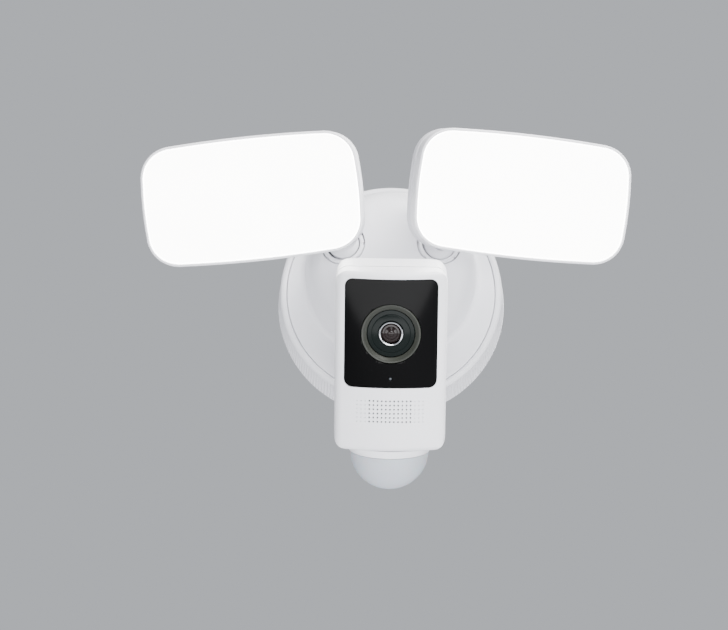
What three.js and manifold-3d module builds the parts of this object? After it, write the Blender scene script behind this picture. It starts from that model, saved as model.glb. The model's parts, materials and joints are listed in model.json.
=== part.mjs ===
// A wall floodlight with a camera: a round ribbed base, two lamp heads and a camera body,
// each on its own ball joint.
// Millimetres. +Z is up, the wall is the plane y = 0 and the light looks towards -Y. The origin is
// the middle of the mounting plate's back face, where the light is fixed to a junction box.
import * as THREE from "three";
import { mergeVertices } from "three/addons/utils/BufferGeometryUtils.js";
import Module from "manifold-3d";

const wasm = await Module();
wasm.setup();

// ---------------------------------------------------------------- driving dimensions

const GAP = 0.3; // between pieces that rest on each other
const LARGE_ROUND = 40; // facets round the base
const JOINT_ROUND = 20; // facets round a ball joint
const SMALL_ROUND = 12; // facets round a screw or a pin
const OUTLINE_STEPS = 3; // facets along each curve of a lamp's outline
const RUNNING = 0.3; // between turning ball-joint pieces

// Base: a ribbed ring closed by a front cover with an off-centre hub.
const BASE_BACK_R = 67.5;
const BASE_FRONT_R = 65;
const BASE_DEPTH = 32;
const BASE_WALL = 2.8;
const WEB_THICK = 2.5; // the ring's back web
const WEB_HOLE_R = 26;
const RIM_LIP = 3.6; // width of the ring's front lip
const RIM_GROOVE = 0.5; // shadow gap round the cover
const LEDGE_WIDTH = 3.9;
const LEDGE_THICK = 2;
const COVER_THICK = 3.7;
const COVER_SET_BACK = 0.5; // the cover's face sits this far behind the ring's lip
const GASKET_THICK = 2;
const GASKET_WIDTH = 6;
const HUB_R = 50;
const HUB_RISE = 10.5; // the hub's centre above the base's centre
const HUB_HEIGHT = 27; // from the cover's face to the hub's crown
const HUB_WALL = 2.6;
const HUB_FILLET = 3.4;

// Mounting plate and its screws.
const PLATE_R = 50;
const PLATE_THICK = 2;
const SLOT_RADIUS = 41.5; // half the spacing of the junction box's screws
const SLOT_LENGTH = 12;
const SLOT_WIDTH = 5;
const WIRE_HOLE_R = 9;
const WIRE_HOLE_RISE = 22;
const SCREW_HEAD_R = 4;
const SCREW_HEAD_THICK = 2.4;
const SCREW_SHANK_R = 2;
const LOCK_SCREW_R = 2.5;
const LOCK_SCREW_DEPTH = 16; // distance of the lock screw from the wall
const BLOCK_REACH = 12; // how deep the lock screw's block goes into the base

// Driver electronics in the base.
const BOARD_THICK = 1.6;
const DRIVER_W = 74;
const DRIVER_H = 40;
const DRIVER_RISE = -16;
const STANDOFF_H = 6;
const STANDOFF_R = 3;
const TERMINAL_W = 24;
const TERMINAL_H = 11;
const TERMINAL_THICK = 10;
const TERMINAL_PITCH = 7.5;
const TERMINAL_WELL_R = 2;
const BOARD_HOLE_INSET = 5;
const TRANSFORMER_H = 11; // heights above the driver board
const CORE_H = 9.5;
const CAPACITOR_H = 12;
const RELAY_H = 9;
const SOLDERED = 0.3; // how far a component is sunk into its board

// Ball joints.
const BALL_R = 9;
const STEM_R = 3.5;
const CUP_WALL = 1.4; // friction cup behind the ball
const SHROUD_WALL = 1.1; // spherical shroud in front of the ball
const COLLAR_R = BALL_R + 3.4;
const COLLAR_LENGTH = 6.5;
const SOCKET_WALL = 1.5;
const SOCKET_DEPTH = BALL_R + 4.5;
const SOCKET_WIRE_R = 3;
const CUP_HALF_ANGLE = 48;
const SHROUD_FROM = 30;
const SHROUD_TO = 60;
const COLLAR_MOUTH = 66; // half angle of the collar's opening seen from the ball's centre
const COLLAR_LUGS = 8;

// Lamp heads.
const LAMP_W = 125;
const LAMP_H = 71;
const LAMP_CORNER = 20;
const LAMP_BULGE = 1.2; // how far each long side bows outwards
const BEZEL_DEPTH = 12;
const BEZEL_WALL = 1.5;
const BEZEL_LEDGE = 2.2;
const DIFFUSER_THICK = 2.6;
const DIFFUSER_SET_BACK = 0.5;
const LAMP_GASKET_THICK = 0.8;
const HOUSING_STRAIGHT = 9;
const HOUSING_TAPER = 8;
const HOUSING_TAPER_IN = 9;
const HOUSING_WALL = 3;
const POCKET_DEPTH = 3;
const FIN_GROOVE = 3.2;
const FIN_PITCH = 6.4;
const FIN_DEPTH = 3.6;
const FIN_COUNT = 9;
const REFLECTOR_WALL = 1.6;
const LED_COLUMNS = 8;
const LED_ROWS = 3;
const LED_SIDE = 3.4;
const LED_THICK = 0.8;
const ARM_FOOT_R = 8;
const ARM_FOOT_THICK = 3;
const ARM_FOOT_SUNK = 3; // depth of the foot's seat in the housing
const ARM_BOSS_WALL = 2; // of the housing's round boss beyond the arm's foot

// Camera body.
const CAMERA_W = 61.5;
const CAMERA_TOP = 34; // from the lens axis to the body's top
const CAMERA_BOTTOM = 66; // from the lens axis to the body's bottom
const CAMERA_D = 48;
const CAMERA_CROWN_R = 76; // radius of the bowed front
const CAMERA_WALL = 2.2;
const CAMERA_EDGE = 2;
const CAMERA_FRONT_CORNER = 7;
const CAMERA_BACK_CORNER = 13;
const SPLIT_DEPTH = 20; // where the front and rear shells meet
const SEAL_THICK = 1;
const WINDOW_W = CAMERA_W - 10.5;
const WINDOW_H = 60.5;
const WINDOW_CORNER = 4.5;
const WINDOW_THICK = 2;
const WINDOW_SET_BACK = 0.25;
const LENS_RING_R = 16.3;
const LENS_DISC_R = 13;
const LENS_TRIM_R = 6.7;
const LENS_TRIM_WALL = 1.1;
const LENS_LENGTH = 20;
const GRILLE_W = 23.8; // length of each row of sound openings
const GRILLE_ROWS = 6;
const GRILLE_PITCH = 2.32;
const GRILLE_SLOT = 1.1;
const GRILLE_DROP = 43.2; // grille centre below the lens axis
const SPEAKER_R = 12;
const SPEAKER_THICK = 8;
const LIGHT_R = 0.8;
const LIGHT_DROP = 24.9;
const DOME_R = 22.2;
const DOME_WALL = 1.5;
const DOME_DROP = 4.2; // dome centre below the body's bottom
const PIR_COLLAR_W = 26.6; // half width of the collar where it meets the body
const PIR_COLLAR_D = 21.4;
const DOOR_W = 24;
const DOOR_H = 17;
const DOOR_THICK = 2;
const DOOR_DROP = 46;
const DOOR_POCKET = 4.5;
const HINGE_R = 1.2;
const BUTTON_R = 2;
const MAIN_BOARD_W = CAMERA_W - 13.5;
const MAIN_BOARD_H = 84;
const MAIN_BOARD_DEPTH = 30; // behind the face's crown
const DOOR_LIP_W = 8; // finger lip near the door's free edge
const DOOR_LIP_H = 1.6;
const DOOR_LIP_RISE = 0.8;
const BUTTON_OFFSET = 8; // sideways from the door's middle
const CARD_LEFT = -11; // the card slot's two ends
const CARD_RIGHT = 3;
const CARD_SLOT_H = 3.2;
const ARM_FLANGE_R = 12;
const ARM_FLANGE_THICK = 3.7;
const ARM_NECK_R = 6.5;
const ARM_NECK_LENGTH = 10;
const ARM_SPIGOT_R = 4.5;
const ARM_SPIGOT_LENGTH = 7;
const NUT_R = 8;
const NUT_THICK = 3.5;
const BOTTOM_HOLE_R = 14; // wire way between the body and the motion sensor

// Where the three heads stand. Angles in degrees: yaw outwards, pitch down, roll with the outer end down.
const LEFT_INNER_END = 16.5; // from the part's middle to the left lamp's inner end
const RIGHT_INNER_END = 12.7;
const LAMP_FACE_Y = -BASE_DEPTH - 68;
const LAMPS = {
  left: { side: -1, face: [-LEFT_INNER_END - LAMP_W / 2, LAMP_FACE_Y, 36.3], yaw: 3, pitch: 18, roll: 5 },
  right: { side: 1, face: [RIGHT_INNER_END + LAMP_W / 2, LAMP_FACE_Y, 37.6], yaw: 12, pitch: 18, roll: 2.5 },
};
// The right-hand ball, which the left one mirrors: it sits in the flank of the hub.
const LAMP_BALL = [0.54 * HUB_R, -BASE_DEPTH - 18, HUB_RISE + 0.228 * HUB_R];
const LAMP_SOCKET_YAW = 8;
const LAMP_SOCKET_PITCH = -8;
const ARM_RISE = 9; // how far the arm's foot stands above the ball, along the lamp's back
const CAMERA_BALL = [0, -BASE_DEPTH - 29, HUB_RISE - 0.528 * HUB_R];
const CAMERA_YAW = 0;
const CAMERA_PITCH = 26;
const CAMERA_ROLL = 0.8;
const CAMERA_REACH = 33; // from the ball's centre to the body's back

// ---------------------------------------------------------------- geometry helpers

const rad = THREE.MathUtils.degToRad;

// A closed manifold solid from any closed three.js geometry, whichever way its faces were wound.
function solid(geometry) {
  const bare = new THREE.BufferGeometry().setAttribute(
    "position",
    (geometry.index ? geometry.toNonIndexed() : geometry).getAttribute("position").clone(),
  );
  const merged = mergeVertices(bare, 1e-4);
  const corner = merged.index.array;
  const kept = [];
  for (let i = 0; i < corner.length; i += 3) {
    const [a, b, c] = [corner[i], corner[i + 1], corner[i + 2]];
    if (a !== b && b !== c && c !== a) kept.push(a, b, c);
  }
  const at = merged.getAttribute("position");
  const p = [0, 1, 2].map(() => new THREE.Vector3());
  let volume = 0;
  for (let i = 0; i < kept.length; i += 3) {
    p.forEach((v, k) => v.fromBufferAttribute(at, kept[i + k]));
    volume += p[0].dot(p[1].clone().cross(p[2]));
  }
  const triVerts = new Uint32Array(kept);
  if (volume < 0) triVerts.reverse();
  return new wasm.Manifold(
    new wasm.Mesh({ numProp: 3, vertProperties: new Float32Array(at.array), triVerts }),
  );
}

function geometryOf(body) {
  const mesh = body.getMesh();
  const xyz = new Float32Array(mesh.numVert * 3);
  for (let i = 0; i < mesh.numVert; i++) {
    xyz.set(mesh.vertProperties.subarray(i * mesh.numProp, i * mesh.numProp + 3), i * 3);
  }
  return new THREE.BufferGeometry()
    .setAttribute("position", new THREE.BufferAttribute(xyz, 3))
    .setIndex(new THREE.BufferAttribute(mesh.triVerts, 1));
}

const join = (first, ...rest) => rest.reduce((sum, next) => sum.add(next), first);
const moved = (body, matrix) => solid(geometryOf(body).applyMatrix4(matrix));
const shifted = (body, x, y, z) => moved(body, new THREE.Matrix4().makeTranslation(x, y, z));
const cut = (first, ...rest) => rest.reduce((left, next) => left.subtract(next), first);

// A box from its lowest to its highest corner.
function block(low, high) {
  const size = high.map((v, i) => v - low[i]);
  const centre = high.map((v, i) => (v + low[i]) / 2);
  return solid(new THREE.BoxGeometry(...size).translate(...centre));
}

// A body of revolution. Profile points are [radius, distance]; the distance runs along -Y from
// the given centre.
function turned(profile, segments, centre = [0, 0, 0]) {
  const points = profile.map(([r, t]) => new THREE.Vector2(r, t));
  const onAxis = profile[0][0] === 0 && profile[profile.length - 1][0] === 0;
  if (!onAxis) points.push(points[0].clone());
  const geometry = new THREE.LatheGeometry(points, segments);
  return solid(geometry.rotateX(Math.PI).translate(...centre));
}

// A rod along Y between two depths; depths are y values.
function rod(radius, y0, y1, [x, z], segments = 20) {
  const geometry = new THREE.CylinderGeometry(radius, radius, y1 - y0, segments);
  return solid(geometry.translate(x, (y0 + y1) / 2, z));
}

// Points of an arc round the ball's centre, from one polar angle to another, as [radius, distance] pairs.
function arc(radius, fromDegrees, toDegrees, steps) {
  return Array.from({ length: steps + 1 }, (_, i) => {
    const angle = rad(fromDegrees + ((toDegrees - fromDegrees) * i) / steps);
    const r = radius * Math.sin(angle);
    return [r < 1e-9 ? 0 : r, radius * Math.cos(angle)];
  });
}

// A rounded rectangle in the X-Z plane whose long sides bow out a little.
function roundedOutline(width, height, corner, bulge = 0) {
  const x = width / 2;
  const z = height / 2;
  const b = bulge;
  const r = Math.min(corner, x, z);
  const k = r * 0.5523;
  const shape = new THREE.Shape();
  shape.moveTo(x - r, -z + b);
  shape.bezierCurveTo(x - r + k, -z + b, x - b / 2, -z + r - k, x - b / 2, -z + r);
  shape.quadraticCurveTo(x + b / 2, 0, x - b / 2, z - r);
  shape.bezierCurveTo(x - b / 2, z - r + k, x - r + k, z - b, x - r, z - b);
  shape.quadraticCurveTo(0, z + b, -x + r, z - b);
  shape.bezierCurveTo(-x + r - k, z - b, -x + b / 2, z - r + k, -x + b / 2, z - r);
  shape.quadraticCurveTo(-x - b / 2, 0, -x + b / 2, -z + r);
  shape.bezierCurveTo(-x + b / 2, -z + r - k, -x + r - k, -z + b, -x + r, -z + b);
  shape.quadraticCurveTo(0, -z - b, x - r, -z + b);
  return shape;
}

// A slab of an X-Z outline between two y values, with an optional chamfer at the y1 end and/or the y0 end.
function slab(outline, y0, y1, curveSegments = OUTLINE_STEPS, bevel = null) {
  const options = { depth: y1 - y0, bevelEnabled: false, curveSegments, steps: 1 };
  if (bevel) Object.assign(options, { bevelEnabled: true, bevelOffset: 0 }, bevel);
  const geometry = new THREE.ExtrudeGeometry(outline, options);
  return solid(geometry.rotateX(Math.PI / 2).translate(0, y1, 0));
}

// A matrix that carries a head's own frame into the part's frame.
function headMatrix([x, y, z], yaw, pitch, roll) {
  const turn = new THREE.Matrix4().makeRotationZ(rad(yaw));
  turn.multiply(new THREE.Matrix4().makeRotationX(rad(pitch)));
  turn.multiply(new THREE.Matrix4().makeRotationY(rad(roll)));
  return turn.setPosition(x, y, z);
}

const material = (color, roughness, metalness = 0, extra = {}) =>
  new THREE.MeshStandardMaterial({ color, roughness, metalness, ...extra });

const FINISH = {
  shell: material(0xf1f1f4, 0.38),
  cast: material(0xe9e9ec, 0.45),
  steel: material(0x9a9da1, 0.35, 1),
  brass: material(0xb08d4a, 0.35, 1),
  rubber: material(0x2a2b2d, 0.85),
  lightRubber: material(0xcfd0d2, 0.8),
  nylon: material(0xd9d9d6, 0.6),
  board: material(0x1f5a3c, 0.55),
  chip: material(0x1b1c1e, 0.5),
  diffuser: material(0xfdfdfb, 0.5, 0, { emissive: 0xffffff, emissiveIntensity: 0.9 }),
  reflector: material(0xf4f4f2, 0.3),
  window: material(0x08090a, 0.08),
  lensRing: material(0x55584c, 0.4),
  lensDisc: material(0x10180f, 0.15),
  chrome: material(0xc9ccce, 0.15, 1),
  glass: material(0x2a1416, 0.05),
  dome: material(0xd8dade, 0.45),
  light: material(0x9fb4c8, 0.3),
};

const root = new THREE.Group();

function add(group, name, body, finish) {
  const mesh = new THREE.Mesh(geometryOf(body), finish);
  mesh.name = name;
  group.add(mesh);
}

function placed(matrix) {
  const group = new THREE.Group();
  group.applyMatrix4(matrix);
  root.add(group);
  return group;
}

// ---------------------------------------------------------------- base, fixed to the wall

const plateFront = -PLATE_THICK;
const ringBack = GASKET_THICK + GAP; // distance of the ring's back edge from the wall
const coverFace = BASE_DEPTH - COVER_SET_BACK;
const coverBack = coverFace - COVER_THICK;
const coverR = BASE_FRONT_R - RIM_LIP - RIM_GROOVE;
const ledgeTop = coverBack - GAP;
const boardBack = ringBack + WEB_THICK + STANDOFF_H + GAP;
const lockSeat = BASE_FRONT_R - SCREW_HEAD_THICK;
const lockFrame = new THREE.Matrix4()
  .makeRotationX(-Math.PI / 2)
  .setPosition(0, -LOCK_SCREW_DEPTH, 0);
const holeX = DRIVER_W / 2 - BOARD_HOLE_INSET;
const holeZ = DRIVER_H / 2 - BOARD_HOLE_INSET;
const driverHoles = [
  [-holeX, DRIVER_RISE - holeZ],
  [holeX, DRIVER_RISE - holeZ],
  [-holeX, DRIVER_RISE + holeZ],
  [holeX, DRIVER_RISE + holeZ],
];

function mountingPlate() {
  const disc = rod(PLATE_R, plateFront, 0, [0, 0], LARGE_ROUND);
  const slot = slab(roundedOutline(SLOT_LENGTH, SLOT_WIDTH, SLOT_WIDTH / 2), plateFront - 1, 1, 3);
  const slots = [-1, 1].map((side) => shifted(slot, side * SLOT_RADIUS, 0, 0));
  return cut(disc, ...slots, rod(WIRE_HOLE_R, plateFront - 1, 1, [0, WIRE_HOLE_RISE]));
}

// A pan-head screw whose shank points towards the wall; headBack is the depth of the head's underside.
function plateScrew(x) {
  const headBack = PLATE_THICK + GAP;
  const head = turned(
    [
      [0, 0.2],
      [SCREW_SHANK_R, 0.2],
      [SCREW_SHANK_R, headBack],
      [SCREW_HEAD_R, headBack],
      [SCREW_HEAD_R, headBack + SCREW_HEAD_THICK * 0.6],
      [SCREW_HEAD_R * 0.6, headBack + SCREW_HEAD_THICK],
      [0, headBack + SCREW_HEAD_THICK],
    ],
    16,
    [x, 0, 0],
  );
  const driveDepth = headBack + SCREW_HEAD_THICK;
  const drive = block([x - 2.2, -driveDepth - 1, -0.4], [x + 2.2, -driveDepth + 1, 0.4]);
  return cut(head, drive);
}

function baseRing() {
  const webFront = ringBack + WEB_THICK;
  const shell = turned(
    [
      [WEB_HOLE_R, ringBack],
      [BASE_BACK_R, ringBack],
      [BASE_BACK_R, ringBack + 2],
      [BASE_FRONT_R + 0.3, BASE_DEPTH - 2.2],
      [BASE_FRONT_R - 0.5, BASE_DEPTH - 0.5],
      [BASE_FRONT_R - 1.6, BASE_DEPTH],
      [BASE_FRONT_R - RIM_LIP, BASE_DEPTH],
      [BASE_FRONT_R - RIM_LIP, ledgeTop],
      [BASE_FRONT_R - RIM_LIP - LEDGE_WIDTH, ledgeTop],
      [BASE_FRONT_R - RIM_LIP - LEDGE_WIDTH, ledgeTop - LEDGE_THICK],
      [BASE_FRONT_R - BASE_WALL, ledgeTop - LEDGE_THICK],
      [BASE_BACK_R - BASE_WALL, webFront],
      [WEB_HOLE_R, webFront],
    ],
    LARGE_ROUND,
  );
  const posts = driverHoles.map(([x, z]) =>
    rod(STANDOFF_R, -webFront - STANDOFF_H, -webFront + 0.5, [x, z], 8),
  );
  const lockBlock = block(
    [-LOCK_SCREW_R - 4, -LOCK_SCREW_DEPTH - 6, -BASE_FRONT_R + 1.5],
    [LOCK_SCREW_R + 4, -webFront + 0.5, -BASE_FRONT_R + BLOCK_REACH],
  );
  const lockHole = moved(rod(LOCK_SCREW_R + GAP, 30, BASE_BACK_R + 5, [0, 0], 16), lockFrame);
  const headHole = moved(
    rod(SCREW_HEAD_R + GAP, lockSeat, BASE_BACK_R + 5, [0, 0], 16), lockFrame);
  const screwHoles = [-1, 1].map((side) =>
    rod(SCREW_HEAD_R + 1, -webFront - 1, 0, [side * SLOT_RADIUS, 0], 16),
  );
  return cut(join(shell, ...posts, lockBlock), lockHole, headHole, ...screwHoles);
}

// The lock screw, with its axis turned from +Y to -Z under the base.
function lockScrew() {
  const shank = rod(LOCK_SCREW_R, lockSeat - BLOCK_REACH, lockSeat + GAP + 0.1, [0, 0], 16);
  const head = rod(SCREW_HEAD_R, lockSeat + GAP, lockSeat + GAP + SCREW_HEAD_THICK, [0, 0], 16);
  const top = lockSeat + GAP + SCREW_HEAD_THICK;
  const drive = block([-2.4, top - 1.2, -0.5], [2.4, top + 1, 0.5]);
  return moved(cut(join(shank, head), drive), lockFrame);
}

// The hub's outside, or with an inset its inside, reaching back to a given depth.
function hub(inset, back) {
  const top = coverFace + HUB_HEIGHT - inset;
  const r = HUB_R - inset;
  const start = inset ? [[r - 1, back]] : [[r + HUB_FILLET, back], [r + HUB_FILLET, coverFace]];
  const root = inset
    ? []
    : [
        [r + HUB_FILLET * 0.45, coverFace + HUB_FILLET * 0.2],
        [r, coverFace + HUB_FILLET * 0.65],
        [r - 1, coverFace + HUB_FILLET * 1.6],
      ];
  return turned(
    [
      [0, back],
      ...start,
      ...root,
      [r - 2.5, coverFace + HUB_HEIGHT * 0.5],
      [r - 5.5, coverFace + HUB_HEIGHT * 0.7],
      [r - 10.5, coverFace + HUB_HEIGHT * 0.86 - inset * 0.5],
      [r - 20, coverFace + HUB_HEIGHT * 0.96 - inset * 0.8],
      [r - 34, top - 0.2],
      [0, top],
    ],
    LARGE_ROUND,
    [0, 0, HUB_RISE],
  );
}

function baseCover(bores) {
  const plate = turned(
    [
      [0, coverBack],
      [coverR, coverBack],
      [coverR, coverFace - 0.8],
      [coverR - 0.8, coverFace],
      [0, coverFace],
    ],
    LARGE_ROUND,
  );
  const limit = rod(coverR, -coverFace - HUB_HEIGHT - 1, -coverBack, [0, 0], LARGE_ROUND);
  const outside = join(plate, hub(0, coverBack + 0.5).intersect(limit));
  return cut(outside, hub(HUB_WALL, coverBack - 1), ...bores);
}

function driverBoard() {
  const y1 = -boardBack;
  const y0 = y1 - BOARD_THICK;
  const board = block(
    [-DRIVER_W / 2, y0, DRIVER_RISE - DRIVER_H / 2],
    [DRIVER_W / 2, y1, DRIVER_RISE + DRIVER_H / 2],
  );
  const holes = driverHoles.map(([x, z]) => rod(1.4, y0 - 1, y1 + 1, [x, z], 10));
  const foot = y0 + SOLDERED;
  const transformer = block([-24, y0 - TRANSFORMER_H, DRIVER_RISE - 11], [-4, foot, DRIVER_RISE + 9]);
  const core = block([-20, y0 - CORE_H, DRIVER_RISE - 14], [-8, foot, DRIVER_RISE + 12]);
  const capacitor = rod(5, y0 - CAPACITOR_H, foot, [7, DRIVER_RISE - 4], 16);
  const relay = block([16, y0 - RELAY_H, DRIVER_RISE - 10], [25, foot, DRIVER_RISE + 9]);
  return cut(join(board, transformer, core, capacitor, relay), ...holes);
}

function terminalBlock() {
  const y1 = -ringBack - WEB_THICK - GAP;
  const low = WEB_HOLE_R + 1;
  const body = block(
    [-TERMINAL_W / 2, y1 - TERMINAL_THICK, low],
    [TERMINAL_W / 2, y1, low + TERMINAL_H],
  );
  const wells = [-1, 0, 1].map((i) =>
    rod(TERMINAL_WELL_R, y1 - TERMINAL_THICK - 1, y1 - TERMINAL_THICK + 4,
      [i * TERMINAL_PITCH, low + TERMINAL_H / 2], SMALL_ROUND),
  );
  return cut(body, ...wells);
}

// ---------------------------------------------------------------- ball joints

const cupInner = BALL_R + RUNNING;
const cupOuter = cupInner + CUP_WALL;
const shroudOuter = cupInner + SHROUD_WALL;
const seatR = cupOuter + RUNNING;
const collarInner = shroudOuter + RUNNING;
const socketR = seatR + SOCKET_WALL;
const boreR = Math.max(socketR, COLLAR_R) + GAP + 0.2;

// All ball-joint pieces are made round the origin with the arm leaving along -Y.
function socket() {
  const cupBack = arc(seatR, 180, 90, 6).map(([r, t]) => [r, Math.min(t, -GAP)]);
  const shell = turned(
    [[0, -SOCKET_DEPTH], [socketR, -SOCKET_DEPTH], [socketR, -GAP], ...cupBack.reverse()],
    JOINT_ROUND,
  );
  return cut(shell, rod(SOCKET_WIRE_R, SOCKET_DEPTH - 6, SOCKET_DEPTH + 1, [0, 0], 8));
}

function frictionCup() {
  const from = 180 - CUP_HALF_ANGLE;
  const shell = turned([...arc(cupOuter, 180, from, 3), ...arc(cupInner, from, 180, 3)], JOINT_ROUND);
  return cut(shell, rod(SOCKET_WIRE_R - 0.8, 5, 20, [0, 0], 6));
}

function shroud() {
  return turned(
    [...arc(shroudOuter, SHROUD_TO, SHROUD_FROM, 2), ...arc(cupInner, SHROUD_FROM, SHROUD_TO, 2)],
    JOINT_ROUND,
  );
}

function collar() {
  const mouth = arc(collarInner, 90, COLLAR_MOUTH, 2);
  const ring = turned(
    [[COLLAR_R, 0], [COLLAR_R, COLLAR_LENGTH - 1], [COLLAR_R - 1.2, COLLAR_LENGTH],
      [mouth[2][0] + 0.6, COLLAR_LENGTH], ...mouth.reverse()],
    JOINT_ROUND + 4,
  );
  const notches = Array.from({ length: COLLAR_LUGS }, (_, i) => {
    const angle = (i * 2 * Math.PI) / COLLAR_LUGS;
    const at = [Math.cos(angle) * (COLLAR_R + 0.9), Math.sin(angle) * (COLLAR_R + 0.9)];
    return rod(1.6, -COLLAR_LENGTH - 1, -COLLAR_LENGTH + 2.4, at, 6);
  });
  return cut(ring, ...notches);
}

// The ball, joined to a straight stem along the given path that ends in a foot.
function arm(path, foot) {
  const ball = turned(arc(BALL_R, 180, 0, 8), JOINT_ROUND - 4);
  const section = new THREE.Shape().absarc(0, 0, STEM_R, 0, 2 * Math.PI);
  const points = path.map((p) => new THREE.Vector3(...p));
  const route = new THREE.LineCurve3(...points);
  const tube = new THREE.ExtrudeGeometry(section, {
    steps: 1,
    extrudePath: route,
    curveSegments: SMALL_ROUND,
    bevelEnabled: false,
  });
  return join(ball, solid(tube), foot);
}

function ballJoint(name, matrix, restMatrix) {
  const fixed = placed(matrix);
  add(fixed, `${name}_socket`, socket(), FINISH.cast);
  add(fixed, `${name}_collar`, collar(), FINISH.shell);
  add(fixed, `${name}_friction_cup`, frictionCup(), FINISH.nylon);
  const follower = placed(restMatrix);
  add(follower, `${name}_shroud`, shroud(), FINISH.shell);
}

// The hole that a ball joint needs in the hub.
const jointBore = (matrix) =>
  moved(rod(boreR, -COLLAR_LENGTH - 6, SOCKET_DEPTH + 2, [0, 0], JOINT_ROUND), matrix);

// ---------------------------------------------------------------- lamp heads

// A lamp is made with its face at y = 0, looking along -Y, and its back towards +Y.
const bezelBack = BEZEL_DEPTH;
const housingFront = bezelBack + LAMP_GASKET_THICK + 2 * GAP;
const taperStart = housingFront + HOUSING_STRAIGHT;
const lampBack = taperStart + HOUSING_TAPER;
const pocketFloor = housingFront + POCKET_DEPTH;
const diffuserBack = DIFFUSER_SET_BACK + DIFFUSER_THICK;
const ledgeFront = diffuserBack + GAP;

const lampOutline = (inset) =>
  roundedOutline(LAMP_W - 2 * inset, LAMP_H - 2 * inset, LAMP_CORNER - inset, LAMP_BULGE);

function lampBezel() {
  const edge = { bevelEnabled: true, bevelSize: 0.8, bevelThickness: 0.8, bevelSegments: 1 };
  const outside = slab(lampOutline(0.8), 0.8, bezelBack + 3, OUTLINE_STEPS, edge);
  const kept = outside.intersect(block([-200, -1, -200], [200, bezelBack, 200]));
  const opening = slab(lampOutline(BEZEL_WALL), -1, ledgeFront);
  const well = slab(lampOutline(BEZEL_WALL + BEZEL_LEDGE), -1, bezelBack + 1);
  const backWell = slab(lampOutline(BEZEL_WALL + 0.4), ledgeFront + 1.6, bezelBack + 1);
  return cut(kept, opening, well, backWell);
}

function lampDiffuser() {
  const edge = { bevelEnabled: true, bevelSize: 0.7, bevelThickness: 0.7, bevelSegments: 1 };
  return slab(
    lampOutline(BEZEL_WALL + GAP + 0.7),
    DIFFUSER_SET_BACK + 0.7,
    diffuserBack - 0.7,
    OUTLINE_STEPS,
    edge,
  );
}

function lampReflector() {
  const back = bezelBack + LAMP_GASKET_THICK;
  const outside = slab(lampOutline(BEZEL_WALL + BEZEL_LEDGE + GAP), ledgeFront + 2.2, back);
  const floor = back - REFLECTOR_WALL;
  const bowl = slab(lampOutline(BEZEL_WALL + BEZEL_LEDGE + 2), ledgeFront, floor);
  const mouth = slab(roundedOutline(LED_COLUMNS * 11 + 4, LED_ROWS * 14, 6), floor - 1, back + 1, 3);
  return cut(outside, bowl, mouth);
}

function ledBoard() {
  const front = pocketFloor - GAP - BOARD_THICK;
  const board = slab(
    roundedOutline(LAMP_W - 22, LAMP_H - 18, LAMP_CORNER - 9),
    front,
    front + BOARD_THICK,
    3,
  );
  const chips = [];
  for (let i = 0; i < LED_COLUMNS; i++) {
    for (let j = 0; j < LED_ROWS; j++) {
      const x = (i - (LED_COLUMNS - 1) / 2) * 11;
      const z = (j - (LED_ROWS - 1) / 2) * 13;
      const h = LED_SIDE / 2;
      chips.push(block([x - h, front - LED_THICK, z - h], [x + h, front + 0.2, z + h]));
    }
  }
  return join(board, ...chips);
}

function lampGasket() {
  const y0 = bezelBack + GAP;
  const y1 = y0 + LAMP_GASKET_THICK;
  return cut(slab(lampOutline(0.5), y0, y1), slab(lampOutline(3.2), y0 - 1, y1 + 1));
}

function lampHousing(footAt) {
  const taper = {
    bevelEnabled: true,
    bevelSize: HOUSING_TAPER_IN,
    bevelThickness: HOUSING_TAPER,
    bevelSegments: 2,
  };
  const outside = slab(lampOutline(HOUSING_TAPER_IN), taperStart - 14, taperStart, OUTLINE_STEPS, taper);
  const shape = outside.intersect(block([-200, housingFront, -200], [200, lampBack + 1, 200]));
  const at = [footAt[0], footAt[2]];
  const boss = rod(ARM_FOOT_R + ARM_BOSS_WALL, taperStart, lampBack, at, 24);
  const pocket = slab(lampOutline(HOUSING_WALL), housingFront - 1, pocketFloor);
  const grooves = [];
  for (let i = 0; i < FIN_COUNT; i++) {
    const x = (i - (FIN_COUNT - 1) / 2) * FIN_PITCH - Math.sign(footAt[0]) * 14;
    const h = FIN_GROOVE / 2;
    grooves.push(
      block([x - h, lampBack - FIN_DEPTH, -LAMP_H / 2 + 12], [x + h, lampBack + 1, LAMP_H / 2 - 12]),
    );
  }
  const footSeat = rod(
    ARM_FOOT_R + GAP, lampBack - ARM_FOOT_SUNK, lampBack + 20, at, 24);
  const screwHole = rod(SCREW_SHANK_R, pocketFloor - 1, lampBack, at, 12);
  const headHole = rod(SCREW_HEAD_R + GAP, pocketFloor - 1, pocketFloor + SCREW_HEAD_THICK + 1, at, 14);
  return cut(join(shape, boss), pocket, ...grooves, footSeat, screwHole, headHole);
}

// The arm runs from the ball, slanting up, and meets the boss on the housing's back in a round foot.
function lampArm(ballAt, footAt) {
  const seat = lampBack - ARM_FOOT_SUNK + GAP;
  const foot = rod(ARM_FOOT_R, seat, seat + ARM_FOOT_THICK, [footAt[0], footAt[2]], 24);
  const hole = rod(SCREW_SHANK_R - 0.4, seat - 1, seat + 3, [footAt[0], footAt[2]], SMALL_ROUND);
  const home = ballAt.map((v) => -v);
  const path = [
    [0, 0, 0],
    [footAt[0] - ballAt[0], seat + ARM_FOOT_THICK / 2 - ballAt[1], footAt[2] - ballAt[2]],
  ];
  return cut(shifted(arm(path, shifted(foot, ...home)), ...ballAt), hole);
}

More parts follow.
